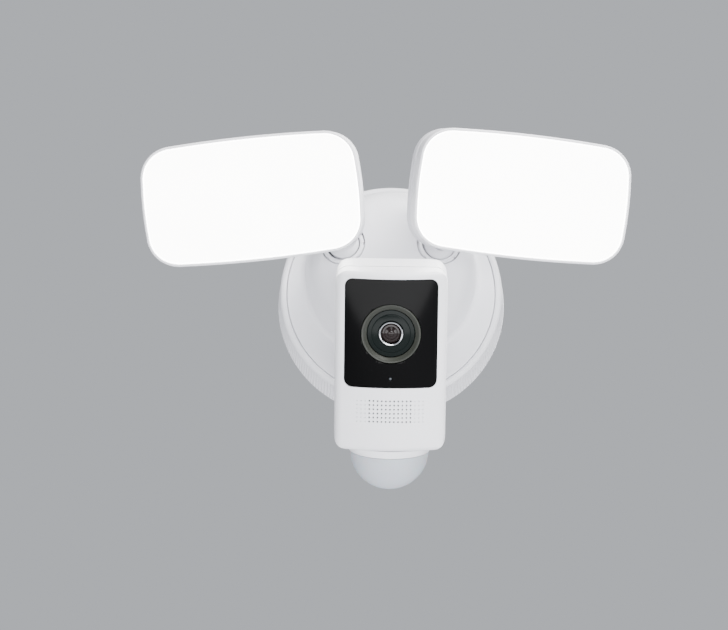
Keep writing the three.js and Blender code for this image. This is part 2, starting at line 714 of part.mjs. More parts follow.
function armScrew(footAt) {
  const seat = lampBack - ARM_FOOT_SUNK + GAP;
  const at = [footAt[0], footAt[2]];
  const headFront = pocketFloor + 0.6;
  const head = rod(SCREW_HEAD_R, headFront, headFront + SCREW_HEAD_THICK, at, 14);
  const shank = rod(SCREW_SHANK_R - 0.7, headFront + 1, seat + 2.4, at, 12);
  return join(head, shank);
}

function lampHead(name, spec) {
  const matrix = headMatrix(spec.face, spec.side * spec.yaw, spec.pitch, spec.side * spec.roll);
  const ball = new THREE.Vector3(spec.side * LAMP_BALL[0], LAMP_BALL[1], LAMP_BALL[2]);
  const ballAt = ball.clone().applyMatrix4(matrix.clone().invert()).toArray();
  const footAt = [ballAt[0], lampBack, ballAt[2] + ARM_RISE];
  const head = placed(matrix);
  add(head, `${name}_arm`, lampArm(ballAt, footAt), FINISH.cast);
  add(head, `${name}_arm_screw`, armScrew(footAt), FINISH.steel);
  add(head, `${name}_housing`, lampHousing(footAt), FINISH.cast);
  add(head, `${name}_gasket`, lampGasket(), FINISH.lightRubber);
  add(head, `${name}_bezel`, lampBezel(), FINISH.shell);
  add(head, `${name}_led_board`, ledBoard(), FINISH.board);
  add(head, `${name}_reflector`, lampReflector(), FINISH.reflector);
  add(head, `${name}_diffuser`, lampDiffuser(), FINISH.diffuser);
  const foot = new THREE.Vector3(...footAt).applyMatrix4(matrix);
  return { ball: ball.toArray(), reach: foot.sub(ball).normalize() };
}

// ---------------------------------------------------------------- camera body

// The camera is made with the crown of its face at y = 0, the lens axis along -Y through z = 0
// and its back at +Y.
const cameraMiddle = (CAMERA_TOP - CAMERA_BOTTOM) / 2;
const cameraH = CAMERA_TOP + CAMERA_BOTTOM;
const frontEnd = SPLIT_DEPTH - SEAL_THICK / 2 - GAP;
const rearStart = SPLIT_DEPTH + SEAL_THICK / 2 + GAP;
const domeCentre = -CAMERA_BOTTOM - DOME_DROP;
const pocketBottom = CAMERA_D - DOOR_POCKET;
const hingeDepth = CAMERA_D - DOOR_THICK / 2 - 0.2;
const hingeDrop = DOOR_DROP + DOOR_H / 2;

// The body's cross-section seen from above: a bowed front, straight sides and rounder back corners.
function cameraSection(inset) {
  const w = CAMERA_W / 2 - inset;
  const back = CAMERA_D - inset;
  const r = CAMERA_CROWN_R - inset;
  const swing = Math.asin((w - 4) / r);
  const edge = CAMERA_CROWN_R - r * Math.cos(swing);
  const c = CAMERA_BACK_CORNER - inset;
  const shape = new THREE.Shape();
  shape.absarc(0, CAMERA_CROWN_R, r, -Math.PI / 2 - swing, -Math.PI / 2 + swing, false);
  shape.quadraticCurveTo(w, edge + 1.6, w, edge + 7);
  shape.lineTo(w, back - c);
  shape.quadraticCurveTo(w - 0.3, back - 0.3, w - c, back);
  shape.lineTo(-w + c, back);
  shape.quadraticCurveTo(-w + 0.3, back - 0.3, -w, back - c);
  shape.lineTo(-w, edge + 7);
  shape.quadraticCurveTo(-w, edge + 1.6, -w + 4, edge);
  return shape;
}

function cameraSolid(inset) {
  const e = CAMERA_EDGE;
  const height = cameraH - 2 * inset;
  const tall = new THREE.ExtrudeGeometry(cameraSection(inset + e), {
    depth: height - 2 * e,
    bevelEnabled: true,
    bevelSize: e,
    bevelThickness: e,
    bevelSegments: 1,
    curveSegments: 5,
  }).translate(0, 0, -CAMERA_BOTTOM + inset + e);
  const outline = roundedOutline(CAMERA_W - 2 * inset, height, CAMERA_FRONT_CORNER - inset / 2);
  const facing = shifted(slab(outline, -5, CAMERA_D + 5), 0, 0, cameraMiddle);
  return solid(tall).intersect(facing);
}

const between = (y0, y1) => block([-100, y0, -200], [100, y1, 200]);

const windowOutline = (gap) =>
  roundedOutline(WINDOW_W - 2 * gap, WINDOW_H - 2 * gap, WINDOW_CORNER - gap);

function grilleSlots() {
  return Array.from({ length: GRILLE_ROWS }, (_, j) => {
    const z = (j - (GRILLE_ROWS - 1) / 2) * GRILLE_PITCH - GRILLE_DROP;
    const h = GRILLE_SLOT / 2;
    return block([-GRILLE_W / 2, -1, z - h], [GRILLE_W / 2, CAMERA_WALL + 3, z + h]);
  });
}

function cameraShells() {
  const shell = cut(cameraSolid(0), cameraSolid(CAMERA_WALL));
  const bottomHole = upright(
    [
      [0, -CAMERA_BOTTOM - 1],
      [BOTTOM_HOLE_R, -CAMERA_BOTTOM - 1],
      [BOTTOM_HOLE_R, -CAMERA_BOTTOM + CAMERA_WALL + 2],
      [0, -CAMERA_BOTTOM + CAMERA_WALL + 2],
    ],
    24,
    [0, CAMERA_D / 2, 0],
  );
  const front = cut(
    shell.intersect(between(-5, frontEnd)),
    slab(windowOutline(0), -2, 10),
    bottomHole,
    ...grilleSlots(),
  );
  const pocketBack = block(
    [-DOOR_W / 2 - 2, pocketBottom - CAMERA_WALL, -hingeDrop - 4],
    [DOOR_W / 2 + 2, CAMERA_D - 1, -DOOR_DROP + DOOR_H / 2 + 2.5],
  );
  const pocket = block(
    [-DOOR_W / 2 - GAP, pocketBottom, -hingeDrop - HINGE_R - GAP],
    [DOOR_W / 2 + GAP, CAMERA_D + 1, -DOOR_DROP + DOOR_H / 2 + GAP],
  );
  const rear = cut(
    join(shell.intersect(between(rearStart, CAMERA_D + 5)), pocketBack),
    pocket,
    bottomHole,
    rod(ARM_SPIGOT_R + GAP, CAMERA_D - 8, CAMERA_D + 1, [0, 0], 20),
    rod(BUTTON_R + GAP, MAIN_BOARD_DEPTH, CAMERA_D, [BUTTON_OFFSET, -DOOR_DROP], 14),
    block(
      [CARD_LEFT, MAIN_BOARD_DEPTH, -DOOR_DROP - CARD_SLOT_H / 2 - GAP],
      [CARD_RIGHT, CAMERA_D, -DOOR_DROP + CARD_SLOT_H / 2 + GAP],
    ),
  );
  return { front, rear };
}

function cameraSeal() {
  const y0 = SPLIT_DEPTH - SEAL_THICK / 2;
  return cut(cameraSolid(0.4), cameraSolid(CAMERA_WALL)).intersect(between(y0, y0 + SEAL_THICK));
}

function cameraWindow() {
  const e = { depth: cameraH, bevelEnabled: false, curveSegments: 8 };
  const low = -CAMERA_BOTTOM;
  const outer = solid(new THREE.ExtrudeGeometry(cameraSection(WINDOW_SET_BACK), e).translate(0, 0, low));
  const inner = solid(
    new THREE.ExtrudeGeometry(cameraSection(WINDOW_SET_BACK + WINDOW_THICK), { ...e, depth: cameraH + 2 })
      .translate(0, 0, low - 1),
  );
  return cut(
    outer,
    inner,
    rod(LENS_RING_R + GAP, -2, 12, [0, 0], 28),
    rod(LIGHT_R + GAP, -2, 12, [0, -LIGHT_DROP], 10),
  ).intersect(slab(windowOutline(GAP), -2, 10));
}

// A body of revolution about the vertical: profile points are [radius, height].
function upright(profile, segments, centre) {
  const points = profile.map(([r, h]) => new THREE.Vector2(r, h));
  if (profile[0][0] !== 0) points.push(points[0].clone());
  return solid(new THREE.LatheGeometry(points, segments).rotateX(Math.PI / 2).translate(...centre));
}

function lensRing() {
  return turned(
    [
      [LENS_DISC_R + GAP, -8],
      [LENS_RING_R, -8],
      [LENS_RING_R, -0.9],
      [LENS_RING_R - 0.6, -0.5],
      [LENS_DISC_R + GAP, -2],
    ],
    28,
  );
}

function lensDisc() {
  const hole = LENS_TRIM_R + GAP;
  return turned([[hole, -6], [LENS_DISC_R, -6], [LENS_DISC_R, -2.6], [hole, -2]], 28);
}

function lensTrim() {
  const inner = LENS_TRIM_R - LENS_TRIM_WALL;
  return turned(
    [[inner, -6], [LENS_TRIM_R, -6], [LENS_TRIM_R, -1.6], [LENS_TRIM_R - 0.5, -1.2], [inner, -1.8]],
    20,
  );
}

function lensGlass() {
  const r = LENS_TRIM_R - LENS_TRIM_WALL - GAP;
  return turned([[0, -6], [r, -6], [r, -3], [r * 0.8, -2.5], [r * 0.45, -2.1], [0, -1.9]], 16);
}

function lensBarrel() {
  const r = LENS_DISC_R - 1;
  return turned(
    [
      [0, -LENS_LENGTH],
      [r, -LENS_LENGTH],
      [r, -13],
      [r - 2, -13],
      [r - 2, -9],
      [r, -9],
      [r, -6.3],
      [0, -6.3],
    ],
    20,
  );
}

function sensorBoard() {
  const y0 = LENS_LENGTH + GAP;
  return join(
    block([-16, y0, -16], [16, y0 + BOARD_THICK, 16]),
    block([-6, y0 + 1, -14], [6, y0 + BOARD_THICK + 2, -8]),
  );
}

function mainBoard() {
  const y0 = MAIN_BOARD_DEPTH;
  const y1 = y0 + BOARD_THICK;
  const low = CAMERA_TOP - CAMERA_WALL - 4 - MAIN_BOARD_H;
  return join(
    block([-MAIN_BOARD_W / 2, y0, low], [MAIN_BOARD_W / 2, y1, low + MAIN_BOARD_H]),
    block([-11, y0 - 2.5, -12], [11, y0 + 0.3, 10]),
    block([-18, y1 - 0.3, -26], [-4, y1 + 3, -16]),
    block([BUTTON_OFFSET - 4, y1 - 0.3, -DOOR_DROP - 3], [BUTTON_OFFSET + 4, y1 + 1, -DOOR_DROP + 3]),
  );
}

function speaker() {
  const y0 = 6;
  const at = [0, -GRILLE_DROP];
  return join(
    rod(SPEAKER_R, y0, y0 + 3, at, 24),
    rod(SPEAKER_R - 4, y0 + 2, y0 + SPEAKER_THICK, at, 20),
  );
}

function pirCollar() {
  const top = -CAMERA_BOTTOM - GAP;
  const profile = [
    [DOME_R - 4, domeCentre],
    [DOME_R + 0.5, domeCentre],
    [DOME_R + 1.6, domeCentre + (top - domeCentre) * 0.45],
    [PIR_COLLAR_W, top],
    [DOME_R - 4, top],
  ];
  const points = [...profile, profile[0]].map(([r, h]) => new THREE.Vector2(r, h));
  const funnel = new THREE.LatheGeometry(points, 28).rotateX(Math.PI / 2);
  const at = funnel.getAttribute("position");
  for (let i = 0; i < at.count; i++) {
    const share = (at.getZ(i) - domeCentre) / (top - domeCentre);
    at.setY(i, at.getY(i) * (1 + share * (PIR_COLLAR_D / PIR_COLLAR_W - 1)));
  }
  return solid(funnel.translate(0, CAMERA_D / 2, 0));
}

function pirDome() {
  const down = (radius, from, to) =>
    arc(radius, from, to, 5).map(([r, t]) => [r, domeCentre - GAP - t]);
  return upright(
    [...down(DOME_R, 0, 90), ...down(DOME_R - DOME_WALL, 90, 0)], 24, [0, CAMERA_D / 2, 0]);
}

function pirSensor() {
  const z = domeCentre;
  return upright(
    [
      [0, z - 9],
      [4.6, z - 9],
      [4.6, z - 5],
      [9.5, z - 5],
      [9.5, z - 3],
      [3, z - 3],
      [3, z + 12],
      [0, z + 12],
    ],
    16,
    [0, CAMERA_D / 2, 0],
  );
}

function cameraArm(reach) {
  const seat = CAMERA_D + GAP;
  const foot = rod(ARM_FLANGE_R, seat, seat + ARM_FLANGE_THICK, [0, 0], 28);
  const spigot = rod(ARM_SPIGOT_R, CAMERA_D - ARM_SPIGOT_LENGTH, seat + 1, [0, 0], 20);
  const neck = rod(ARM_NECK_R, seat + 1, CAMERA_D + ARM_NECK_LENGTH, [0, 0], 20);
  const ballDepth = CAMERA_D + reach;
  const path = [[0, -2, 0], [0, -reach + 6, 0]];
  const made = arm(path, shifted(join(foot, spigot, neck), 0, -ballDepth, 0));
  return shifted(made, 0, ballDepth, 0);
}

function armNut() {
  const y1 = CAMERA_D - CAMERA_WALL - GAP;
  const hexagon = rod(NUT_R, y1 - NUT_THICK, y1, [0, 0], 6);
  return cut(hexagon, rod(ARM_SPIGOT_R + GAP, y1 - NUT_THICK - 1, y1 + 1, [0, 0], 20));
}

function cardDoor() {
  const y0 = hingeDepth - DOOR_THICK / 2;
  const top = -DOOR_DROP + DOOR_H / 2;
  const front = y0 + DOOR_THICK;
  const leaf = block([-DOOR_W / 2, y0, -hingeDrop], [DOOR_W / 2, front, top]);
  const knuckle = moved(
    rod(HINGE_R, -DOOR_W / 2, DOOR_W / 2, [0, 0], 12),
    new THREE.Matrix4().makeRotationZ(Math.PI / 2).setPosition(0, hingeDepth, -hingeDrop),
  );
  const lip = block(
    [-DOOR_LIP_W / 2, front - 0.2, top - 0.8 - DOOR_LIP_H],
    [DOOR_LIP_W / 2, front + DOOR_LIP_RISE, top - 0.8],
  );
  return join(leaf, knuckle, lip);
}

const resetButton = () => rod(BUTTON_R, 34.5, pocketBottom + 1.4, [BUTTON_OFFSET, -DOOR_DROP], 14);

function cardSlot() {
  const h = CARD_SLOT_H / 2;
  const body = block(
    [CARD_LEFT + GAP, 34, -DOOR_DROP - h],
    [CARD_RIGHT - GAP, pocketBottom + 0.8, -DOOR_DROP + h],
  );
  const mouth = block(
    [CARD_LEFT + 1.5, 38, -DOOR_DROP - 0.5],
    [CARD_RIGHT - 1.5, pocketBottom + 2, -DOOR_DROP + 0.5],
  );
  return cut(body, mouth);
}

function cameraHead(matrix) {
  const head = placed(matrix);
  const { front, rear } = cameraShells();
  add(head, "camera_arm", cameraArm(CAMERA_REACH), FINISH.cast);
  add(head, "camera_arm_nut", armNut(), FINISH.steel);
  add(head, "camera_rear_shell", rear, FINISH.shell);
  add(head, "camera_front_shell", front, FINISH.shell);
  add(head, "camera_seal", cameraSeal(), FINISH.lightRubber);
  add(head, "camera_window", cameraWindow(), FINISH.window);
  add(head, "lens_ring", lensRing(), FINISH.lensRing);
  add(head, "lens_disc", lensDisc(), FINISH.lensDisc);
  add(head, "lens_trim", lensTrim(), FINISH.chrome);
  add(head, "lens_glass", lensGlass(), FINISH.glass);
  add(head, "lens_barrel", lensBarrel(), FINISH.chip);
  add(head, "sensor_board", sensorBoard(), FINISH.board);
  add(head, "main_board", mainBoard(), FINISH.board);
  add(head, "speaker", speaker(), FINISH.chip);
  add(head, "status_light", rod(LIGHT_R, 0.35, 8, [0, -LIGHT_DROP], 10), FINISH.light);
  add(head, "pir_collar", pirCollar(), FINISH.shell);
  add(head, "pir_dome", pirDome(), FINISH.dome);
  add(head, "pir_sensor", pirSensor(), FINISH.chip);
  add(head, "card_door", cardDoor(), FINISH.lightRubber);
  add(head, "card_slot", cardSlot(), FINISH.steel);
  add(head, "reset_button", resetButton(), FINISH.chip);
}

// ---------------------------------------------------------------- assembly

const cameraBallFrame = headMatrix(CAMERA_BALL, 0, CAMERA_PITCH, 0);
const bores = [jointBore(cameraBallFrame)];
for (const [side, spec] of Object.entries(LAMPS)) {
  const name = `lamp_${side}`;
  const head = lampHead(name, spec);
  const frame = headMatrix(head.ball, spec.side * LAMP_SOCKET_YAW, LAMP_SOCKET_PITCH, 0);
  const follow = new THREE.Quaternion().setFromUnitVectors(new THREE.Vector3(0, -1, 0), head.reach);
  const follower = new THREE.Matrix4().makeRotationFromQuaternion(follow).setPosition(...head.ball);
  ballJoint(name, frame, follower);
  bores.push(jointBore(frame));
}

const cameraTurn = headMatrix([0, 0, 0], CAMERA_YAW, CAMERA_PITCH, CAMERA_ROLL);
const cameraFace = new THREE.Vector3(0, -(CAMERA_D + CAMERA_REACH), 0)
  .applyMatrix4(cameraTurn)
  .add(new THREE.Vector3(...CAMERA_BALL));
const cameraMatrix = cameraTurn.clone().setPosition(cameraFace);
cameraHead(cameraMatrix);
ballJoint("camera", cameraBallFrame, cameraTurn.clone().setPosition(...CAMERA_BALL));

add(root, "mounting_plate", mountingPlate(), FINISH.steel);
add(root, "plate_screw_left", plateScrew(-SLOT_RADIUS), FINISH.steel);
add(root, "plate_screw_right", plateScrew(SLOT_RADIUS), FINISH.steel);
add(
  root,
  "wall_gasket",
  turned(
    [
      [BASE_BACK_R - 1 - GASKET_WIDTH, 0],
      [BASE_BACK_R - 1, 0],
      [BASE_BACK_R - 1, GASKET_THICK],
      [BASE_BACK_R - 1 - GASKET_WIDTH, GASKET_THICK],
    ],
    LARGE_ROUND,
  ),
  FINISH.rubber,
);
add(root, "base_ring", baseRing(), FINISH.shell);
add(root, "base_cover", baseCover(bores), FINISH.shell);
add(root, "lock_screw", lockScrew(), FINISH.steel);
add(root, "driver_board", driverBoard(), FINISH.board);
add(root, "terminal_block", terminalBlock(), FINISH.nylon);

export default root;
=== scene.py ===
"""The finished look of a wall floodlight with a camera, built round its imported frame. Metres, +Z up, the wall at y = 0."""

import json
import math

import bmesh
import bpy
from mathutils import Matrix, Vector


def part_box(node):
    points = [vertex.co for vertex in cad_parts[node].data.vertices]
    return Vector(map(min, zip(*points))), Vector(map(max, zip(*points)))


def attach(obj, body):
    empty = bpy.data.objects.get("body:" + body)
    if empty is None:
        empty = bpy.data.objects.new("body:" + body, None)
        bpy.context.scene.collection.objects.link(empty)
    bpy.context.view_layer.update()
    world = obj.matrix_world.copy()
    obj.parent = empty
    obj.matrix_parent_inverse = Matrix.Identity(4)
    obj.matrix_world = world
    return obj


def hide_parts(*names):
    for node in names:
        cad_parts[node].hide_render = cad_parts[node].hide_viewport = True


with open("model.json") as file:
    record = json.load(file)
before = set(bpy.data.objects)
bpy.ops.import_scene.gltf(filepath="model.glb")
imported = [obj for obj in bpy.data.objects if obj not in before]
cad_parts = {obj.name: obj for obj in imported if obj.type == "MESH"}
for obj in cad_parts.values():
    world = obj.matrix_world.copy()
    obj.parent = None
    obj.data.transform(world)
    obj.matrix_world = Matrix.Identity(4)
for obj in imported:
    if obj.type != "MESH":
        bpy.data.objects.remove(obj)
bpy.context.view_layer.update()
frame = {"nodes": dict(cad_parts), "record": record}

MM = 0.001

# ---------------------------------------------------------------- dimensions, in millimetres

GAP = 0.3
BASE_BACK_R = 67.5
BASE_FRONT_R = 65.0
BASE_DEPTH = 32.0
RIB_COUNT = 200
RIB_DEPTH = 1.0
RIM_LIP = 3.6
COVER_R = 61.1
COVER_FACE = 31.5
COVER_BACK = 27.8
HUB_R = 50.0
HUB_RISE = 10.5
HUB_HEIGHT = 27.0
HUB_FILLET = 3.4
HUB_WALL = 2.6
BORE_R = 13.0
PLATE_R = 50.0
PLATE_THICK = 2.0
SLOT_RADIUS = 41.5
SLOT_LENGTH = 12.0
SLOT_WIDTH = 5.0
WIRE_HOLE_R = 9.0
WIRE_HOLE_RISE = 22.0
LOCK_SCREW_DEPTH = 16.0

BALL_R = 9.0
STEM_R = 3.5
SHROUD_INNER = 9.3
SHROUD_OUTER = 10.4
COLLAR_INNER = 10.7
COLLAR_R = 12.4
COLLAR_LENGTH = 6.5
COLLAR_MOUTH = 66.0
COLLAR_LUGS = 8

LAMP_W = 124.8
LAMP_H = 70.9
LAMP_CORNER = 20.0
LAMP_BULGE = 1.2
BEZEL_WALL = 1.5
BEZEL_LEDGE = 2.2
BEZEL_DEPTH = 12.0
HOUSING_FRONT = 13.4
TAPER_START = 21.4
LAMP_BACK = 30.4
TAPER_IN = 9.0
POCKET_FLOOR = 16.4
FOOT_R = 8.0
FOOT_SEAT = 27.4
FIN_COUNT = 9
FIN_PITCH = 6.4
FIN_GROOVE = 3.2
FIN_DEPTH = 3.6

CAMERA_W = 61.5
CAMERA_TOP = 34.0
CAMERA_BOTTOM = 66.0
CAMERA_D = 48.0
CAMERA_CROWN_R = 76.0
CAMERA_WALL = 2.2
SPLIT_FRONT = 19.2
SPLIT_REAR = 20.8
WINDOW_W = 51.0
WINDOW_H = 60.5
WINDOW_CORNER = 4.5
LENS_RING_R = 16.3
LENS_DISC_R = 13.0
LENS_TRIM_R = 6.7
LIGHT_R = 0.8
LIGHT_DROP = 24.9
GRILLE_DROP = 43.2
GRILLE_PITCH_X = 2.26
GRILLE_PITCH_Z = 2.32
GRILLE_COLUMNS = 17
GRILLE_OPEN_COLUMNS = 11
GRILLE_ROWS = 6
GRILLE_HOLE_R = 0.52
DOME_R = 21.95
DOME_CENTRE = -70.2
DOOR_W = 24.0
DOOR_H = 17.0
DOOR_DROP = 46.0
CAMERA_REACH = 33.0

# Where the heads stand: the face's centre, then yaw, pitch and roll in degrees.
LAMPS = {
    "left": ((-79.0, -100.0, 36.3), -3.0, 18.0, -5.0, -1),
    "right": ((75.2, -100.0, 37.6), 12.0, 18.0, 2.5, 1),
}
LAMP_BALL = (27.0, -50.0, 21.9)
LAMP_SOCKET_TURN = (8.0, -8.0)
ARM_RISE = 9.0
CAMERA_BALL = (0.0, -61.0, -15.9)
CAMERA_TURN = (0.0, 26.0, 0.8)

# ---------------------------------------------------------------- camera, light and floor

VIEW_BELOW = math.radians(15)
VIEW_DISTANCE = 1.5

view = bpy.data.objects.new("view", bpy.data.cameras.new("view"))
bpy.context.scene.collection.objects.link(view)
view.location = (0, -VIEW_DISTANCE * math.cos(VIEW_BELOW), -VIEW_DISTANCE * math.sin(VIEW_BELOW))
view.rotation_euler = (math.pi / 2 + VIEW_BELOW, 0, 0)
view.data.lens = 123.6
view.data.sensor_width = 36
view.data.shift_x = -0.0371
view.data.shift_y = -0.0113
bpy.context.scene.camera = view


def softbox(name, place, aim, size, watts, colour=(1, 1, 1)):
    lamp = bpy.data.lights.new(name, "AREA")
    lamp.shape = "RECTANGLE"
    lamp.size, lamp.size_y = size
    lamp.energy = watts
    lamp.color = colour
    holder = bpy.data.objects.new(name, lamp)
    holder.location = place
    holder.visible_camera = False
    holder.rotation_euler = (Vector(aim) - Vector(place)).to_track_quat("-Z", "Y").to_euler()
    bpy.context.scene.collection.objects.link(holder)


softbox("sky_light", (0.8, -1.0, 1.5), (0, -0.05, 0), (1.0, 1.0), 105, (1.0, 0.99, 0.98))
softbox("front_fill", (0.35, -2.0, -0.3), (0, -0.13, -0.05), (1.0, 0.5), 30, (0.97, 0.98, 1.0))
# A narrow strip whose lower edge shows as a soft grey gradient at the top of the black window.
softbox("window_strip", (0, -1.0, -0.55), (0, -0.13, -0.05), (2.2, 0.28), 12)
softbox("back_fill", (0.7, 1.5, 0.9), (0, 0, 0), (1.2, 1.2), 30)

world = bpy.data.worlds.new("pale_room")
bpy.context.scene.world = world
world.use_nodes = True
world.node_tree.nodes["Background"].inputs["Color"].default_value = (0.78, 0.81, 0.86, 1)
world.node_tree.nodes["Background"].inputs["Strength"].default_value = 0.66

# ---------------------------------------------------------------- materials


def linear(hex_colour):
    """An sRGB hex colour as linear red, green, blue and alpha."""
    parts = [int(hex_colour[i : i + 2], 16) / 255 for i in (1, 3, 5)]
    return tuple(c / 12.92 if c <= 0.04045 else ((c + 0.055) / 1.055) ** 2.4 for c in parts) + (1.0,)


def add_node(material, kind, settings=None, links=None, sockets=None):
    """A node with its settings, its sockets' values and the links into its inputs."""
    node = material.node_tree.nodes.new(kind)
    for key, value in (settings or {}).items():
        setattr(node, key, value)
    for key, value in (sockets or {}).items():
        node.inputs[key].default_value = value
    for key, source in (links or {}).items():
        material.node_tree.links.new(source, node.inputs[key])
    return node


def new_material(name, **sockets):
    material = bpy.data.materials.new(name)
    material.use_nodes = True
    shader = material.node_tree.nodes["Principled BSDF"]
    for key, value in sockets.items():
        shader.inputs[key.replace("_", " ")].default_value = value
    return material, shader


def grained(name, colour, shade, roughness, spread, grain_mm, height_mm, **sockets):
    """A finish with fine grain in its bump, slow drift in its colour and gloss, at real sizes."""
    material, shader = new_material(name, **sockets)
    place = add_node(material, "ShaderNodeTexCoord").outputs["Object"]
    drift = add_node(material, "ShaderNodeTexNoise", links={"Vector": place},
                     sockets={"Scale": 1 / (38 * MM), "Detail": 3.0}).outputs["Fac"]
    grain = add_node(material, "ShaderNodeTexNoise", links={"Vector": place},
                     sockets={"Scale": 1 / (grain_mm * MM), "Detail": 2.0, "Roughness": 0.6}).outputs["Fac"]
    tint = add_node(material, "ShaderNodeMix", {"data_type": "RGBA"})
    tint.inputs["A"].default_value = linear(colour)
    tint.inputs["B"].default_value = linear(shade)
    material.node_tree.links.new(drift, tint.inputs["Factor"])
    gloss = add_node(material, "ShaderNodeMapRange", links={"Value": drift},
                     sockets={"From Min": 0.3, "From Max": 0.7, "To Min": roughness - spread,
                              "To Max": roughness + spread}).outputs["Result"]
    bump = add_node(material, "ShaderNodeBump", links={"Height": grain},
                    sockets={"Strength": 0.35, "Distance": height_mm * MM}).outputs["Normal"]
    material.node_tree.links.new(tint.outputs["Result"], shader.inputs["Base Color"])
    material.node_tree.links.new(gloss, shader.inputs["Roughness"])
    material.node_tree.links.new(bump, shader.inputs["Normal"])
    return material


# ASA, injection moulded with a fine eroded texture: a satin white with a faint cool cast.
moulded_asa = grained("moulded_asa", "#F2F2F5", "#EBEBEF", 0.36, 0.04, 0.55, 0.02, IOR=1.52)
# Aluminium, die cast and powder coated: white, a little rougher, with a soft orange peel.
powder_coat = grained("powder_coated_aluminium", "#E9E9ED", "#DFDFE4", 0.42, 0.05, 0.9, 0.04, IOR=1.5)
# Steel sheet, zinc plated: cool grey with a mottled gloss.
zinc_steel = grained("zinc_plated_steel", "#B4B7BB", "#9DA1A6", 0.32, 0.1, 1.6, 0.01, Metallic=1.0)
# EPDM rubber, moulded: near black and matt.
epdm_rubber = grained("epdm_rubber", "#2A2B2D", "#202123", 0.78, 0.06, 0.6, 0.04, IOR=1.5)
# Silicone rubber, moulded: pale grey, soft sheen.
silicone = grained("silicone_rubber", "#D3D4D8", "#C6C8CC", 0.6, 0.05, 0.5, 0.03, IOR=1.43)
# Nylon, moulded in its natural colour: waxy off white.
natural_nylon = grained("natural_nylon", "#E1E0D8", "#D6D4CA", 0.5, 0.05, 0.7, 0.02, IOR=1.53)
# Glass-fibre circuit board under green solder mask.
solder_mask = grained("solder_mask_board", "#1E6B45", "#17573A", 0.35, 0.06, 0.4, 0.02, IOR=1.55)
# Black filled plastic, moulded.
black_plastic = grained("black_moulded_plastic", "#1B1C1E", "#141517", 0.45, 0.06, 0.5, 0.03, IOR=1.5)
# PMMA, moulded and polished, black behind: a dark mirror.
black_window = grained("black_pmma", "#030304", "#020202", 0.07, 0.015, 8.0, 0.004, IOR=1.49,
                       Specular_IOR_Level=0.07)
# Anodised aluminium, turned: dull olive grey.
olive_ring = grained("olive_anodised_ring", "#2A2C26", "#232520", 0.4, 0.04, 0.4, 0.02, IOR=1.5,
                     Specular_IOR_Level=0.35)
# Polycarbonate, coated: dark green black with a clear gloss.
green_disc = grained("green_black_polycarbonate", "#0E1513", "#0B1010", 0.16, 0.03, 3.0, 0.004, IOR=1.58,
                     Specular_IOR_Level=0.06)
# Nickel plate, polished: a thin bright ring.
bright_ring = grained("polished_nickel", "#B2B4B6", "#A5A8AB", 0.14, 0.03, 1.2, 0.004, Metallic=1.0)
# Optical glass, coated: a deep wine-red glint.
coated_glass = grained("coated_lens_glass", "#1D1413", "#120B0B", 0.05, 0.01, 4.0, 0.002, IOR=1.6,
                       Specular_IOR_Level=0.17)
# HDPE, moulded thin for the motion sensor: milky, soft, light glows through it. Its colour is painted a darker grey
# than the white dome, as painted shade for the shadow under the camera body.
milky_hdpe_painted_shade = grained("milky_hdpe_painted_shade", "#BCC1C8", "#B2B7BF", 0.42, 0.04, 1.2, 0.02, IOR=1.52,
                     Subsurface_Weight=0.35, Subsurface_Scale=0.006)


def lit_diffuser():
    """Opal polycarbonate with the light on: white all over, its glow a little uneven in soft patches."""
    material, shader = new_material("opal_polycarbonate_lit", Roughness=0.4, IOR=1.58)
    place = add_node(material, "ShaderNodeTexCoord").outputs["Object"]
    cloud = add_node(material, "ShaderNodeTexNoise", links={"Vector": place},
                     sockets={"Scale": 1 / (30 * MM), "Detail": 1.0}).outputs["Fac"]
    glow = add_node(material, "ShaderNodeMapRange", links={"Value": cloud},
                    sockets={"To Min": 9.0, "To Max": 10.0}).outputs["Result"]
    shader.inputs["Base Color"].default_value = linear("#FAFAF7")
    shader.inputs["Emission Color"].default_value = linear("#FFFEFA")
    material.node_tree.links.new(glow, shader.inputs["Emission Strength"])
    return material


opal = lit_diffuser()
# Polystyrene, moulded: a glossy white tray round the LEDs.
white_tray = grained("white_polystyrene", "#F4F4F2", "#ECECEA", 0.25, 0.03, 1.5, 0.01, IOR=1.59)
# Acrylic light pipe, unlit.
light_pipe = grained("acrylic_light_pipe", "#30343A", "#262A30", 0.2, 0.03, 2.0, 0.002, IOR=1.49)

SLOT_FINISH = {
    "shell": moulded_asa, "cast": powder_coat, "steel": zinc_steel, "rubber": epdm_rubber,
    "light_rubber": silicone, "nylon": natural_nylon, "board": solder_mask, "chip": black_plastic,
    "diffuser": opal, "reflector": white_tray, "window": black_window, "lens_ring": olive_ring,
    "lens_disc": green_disc, "chrome": bright_ring, "glass": coated_glass, "dome": milky_hdpe_painted_shade,
    "light": light_pipe,
}
NODE_SLOT = {part["node"]: part["material_slot"] for part in frame["record"]["subparts"]}
for node_name, cad_piece in frame["nodes"].items():
    cad_piece.data.materials.clear()
    cad_piece.data.materials.append(SLOT_FINISH[NODE_SLOT[node_name]])

# ---------------------------------------------------------------- modelling tools


def start_alone(piece=None):
    if bpy.context.object and bpy.context.object.mode != "OBJECT":
        bpy.ops.object.mode_set(mode="OBJECT")
    bpy.ops.object.select_all(action="DESELECT")
    if piece:
        piece.select_set(True)
        bpy.context.view_layer.objects.active = piece


def pick(piece, test):
    """Selects the vertices, and with them the edges and faces, that pass a test on their place."""
    mesh = bmesh.from_edit_mesh(piece.data)
    bpy.ops.mesh.select_all(action="DESELECT")
    for vertex in mesh.verts:
        vertex.select = test(vertex)
    mesh.select_flush(True)
    bmesh.update_edit_mesh(piece.data)


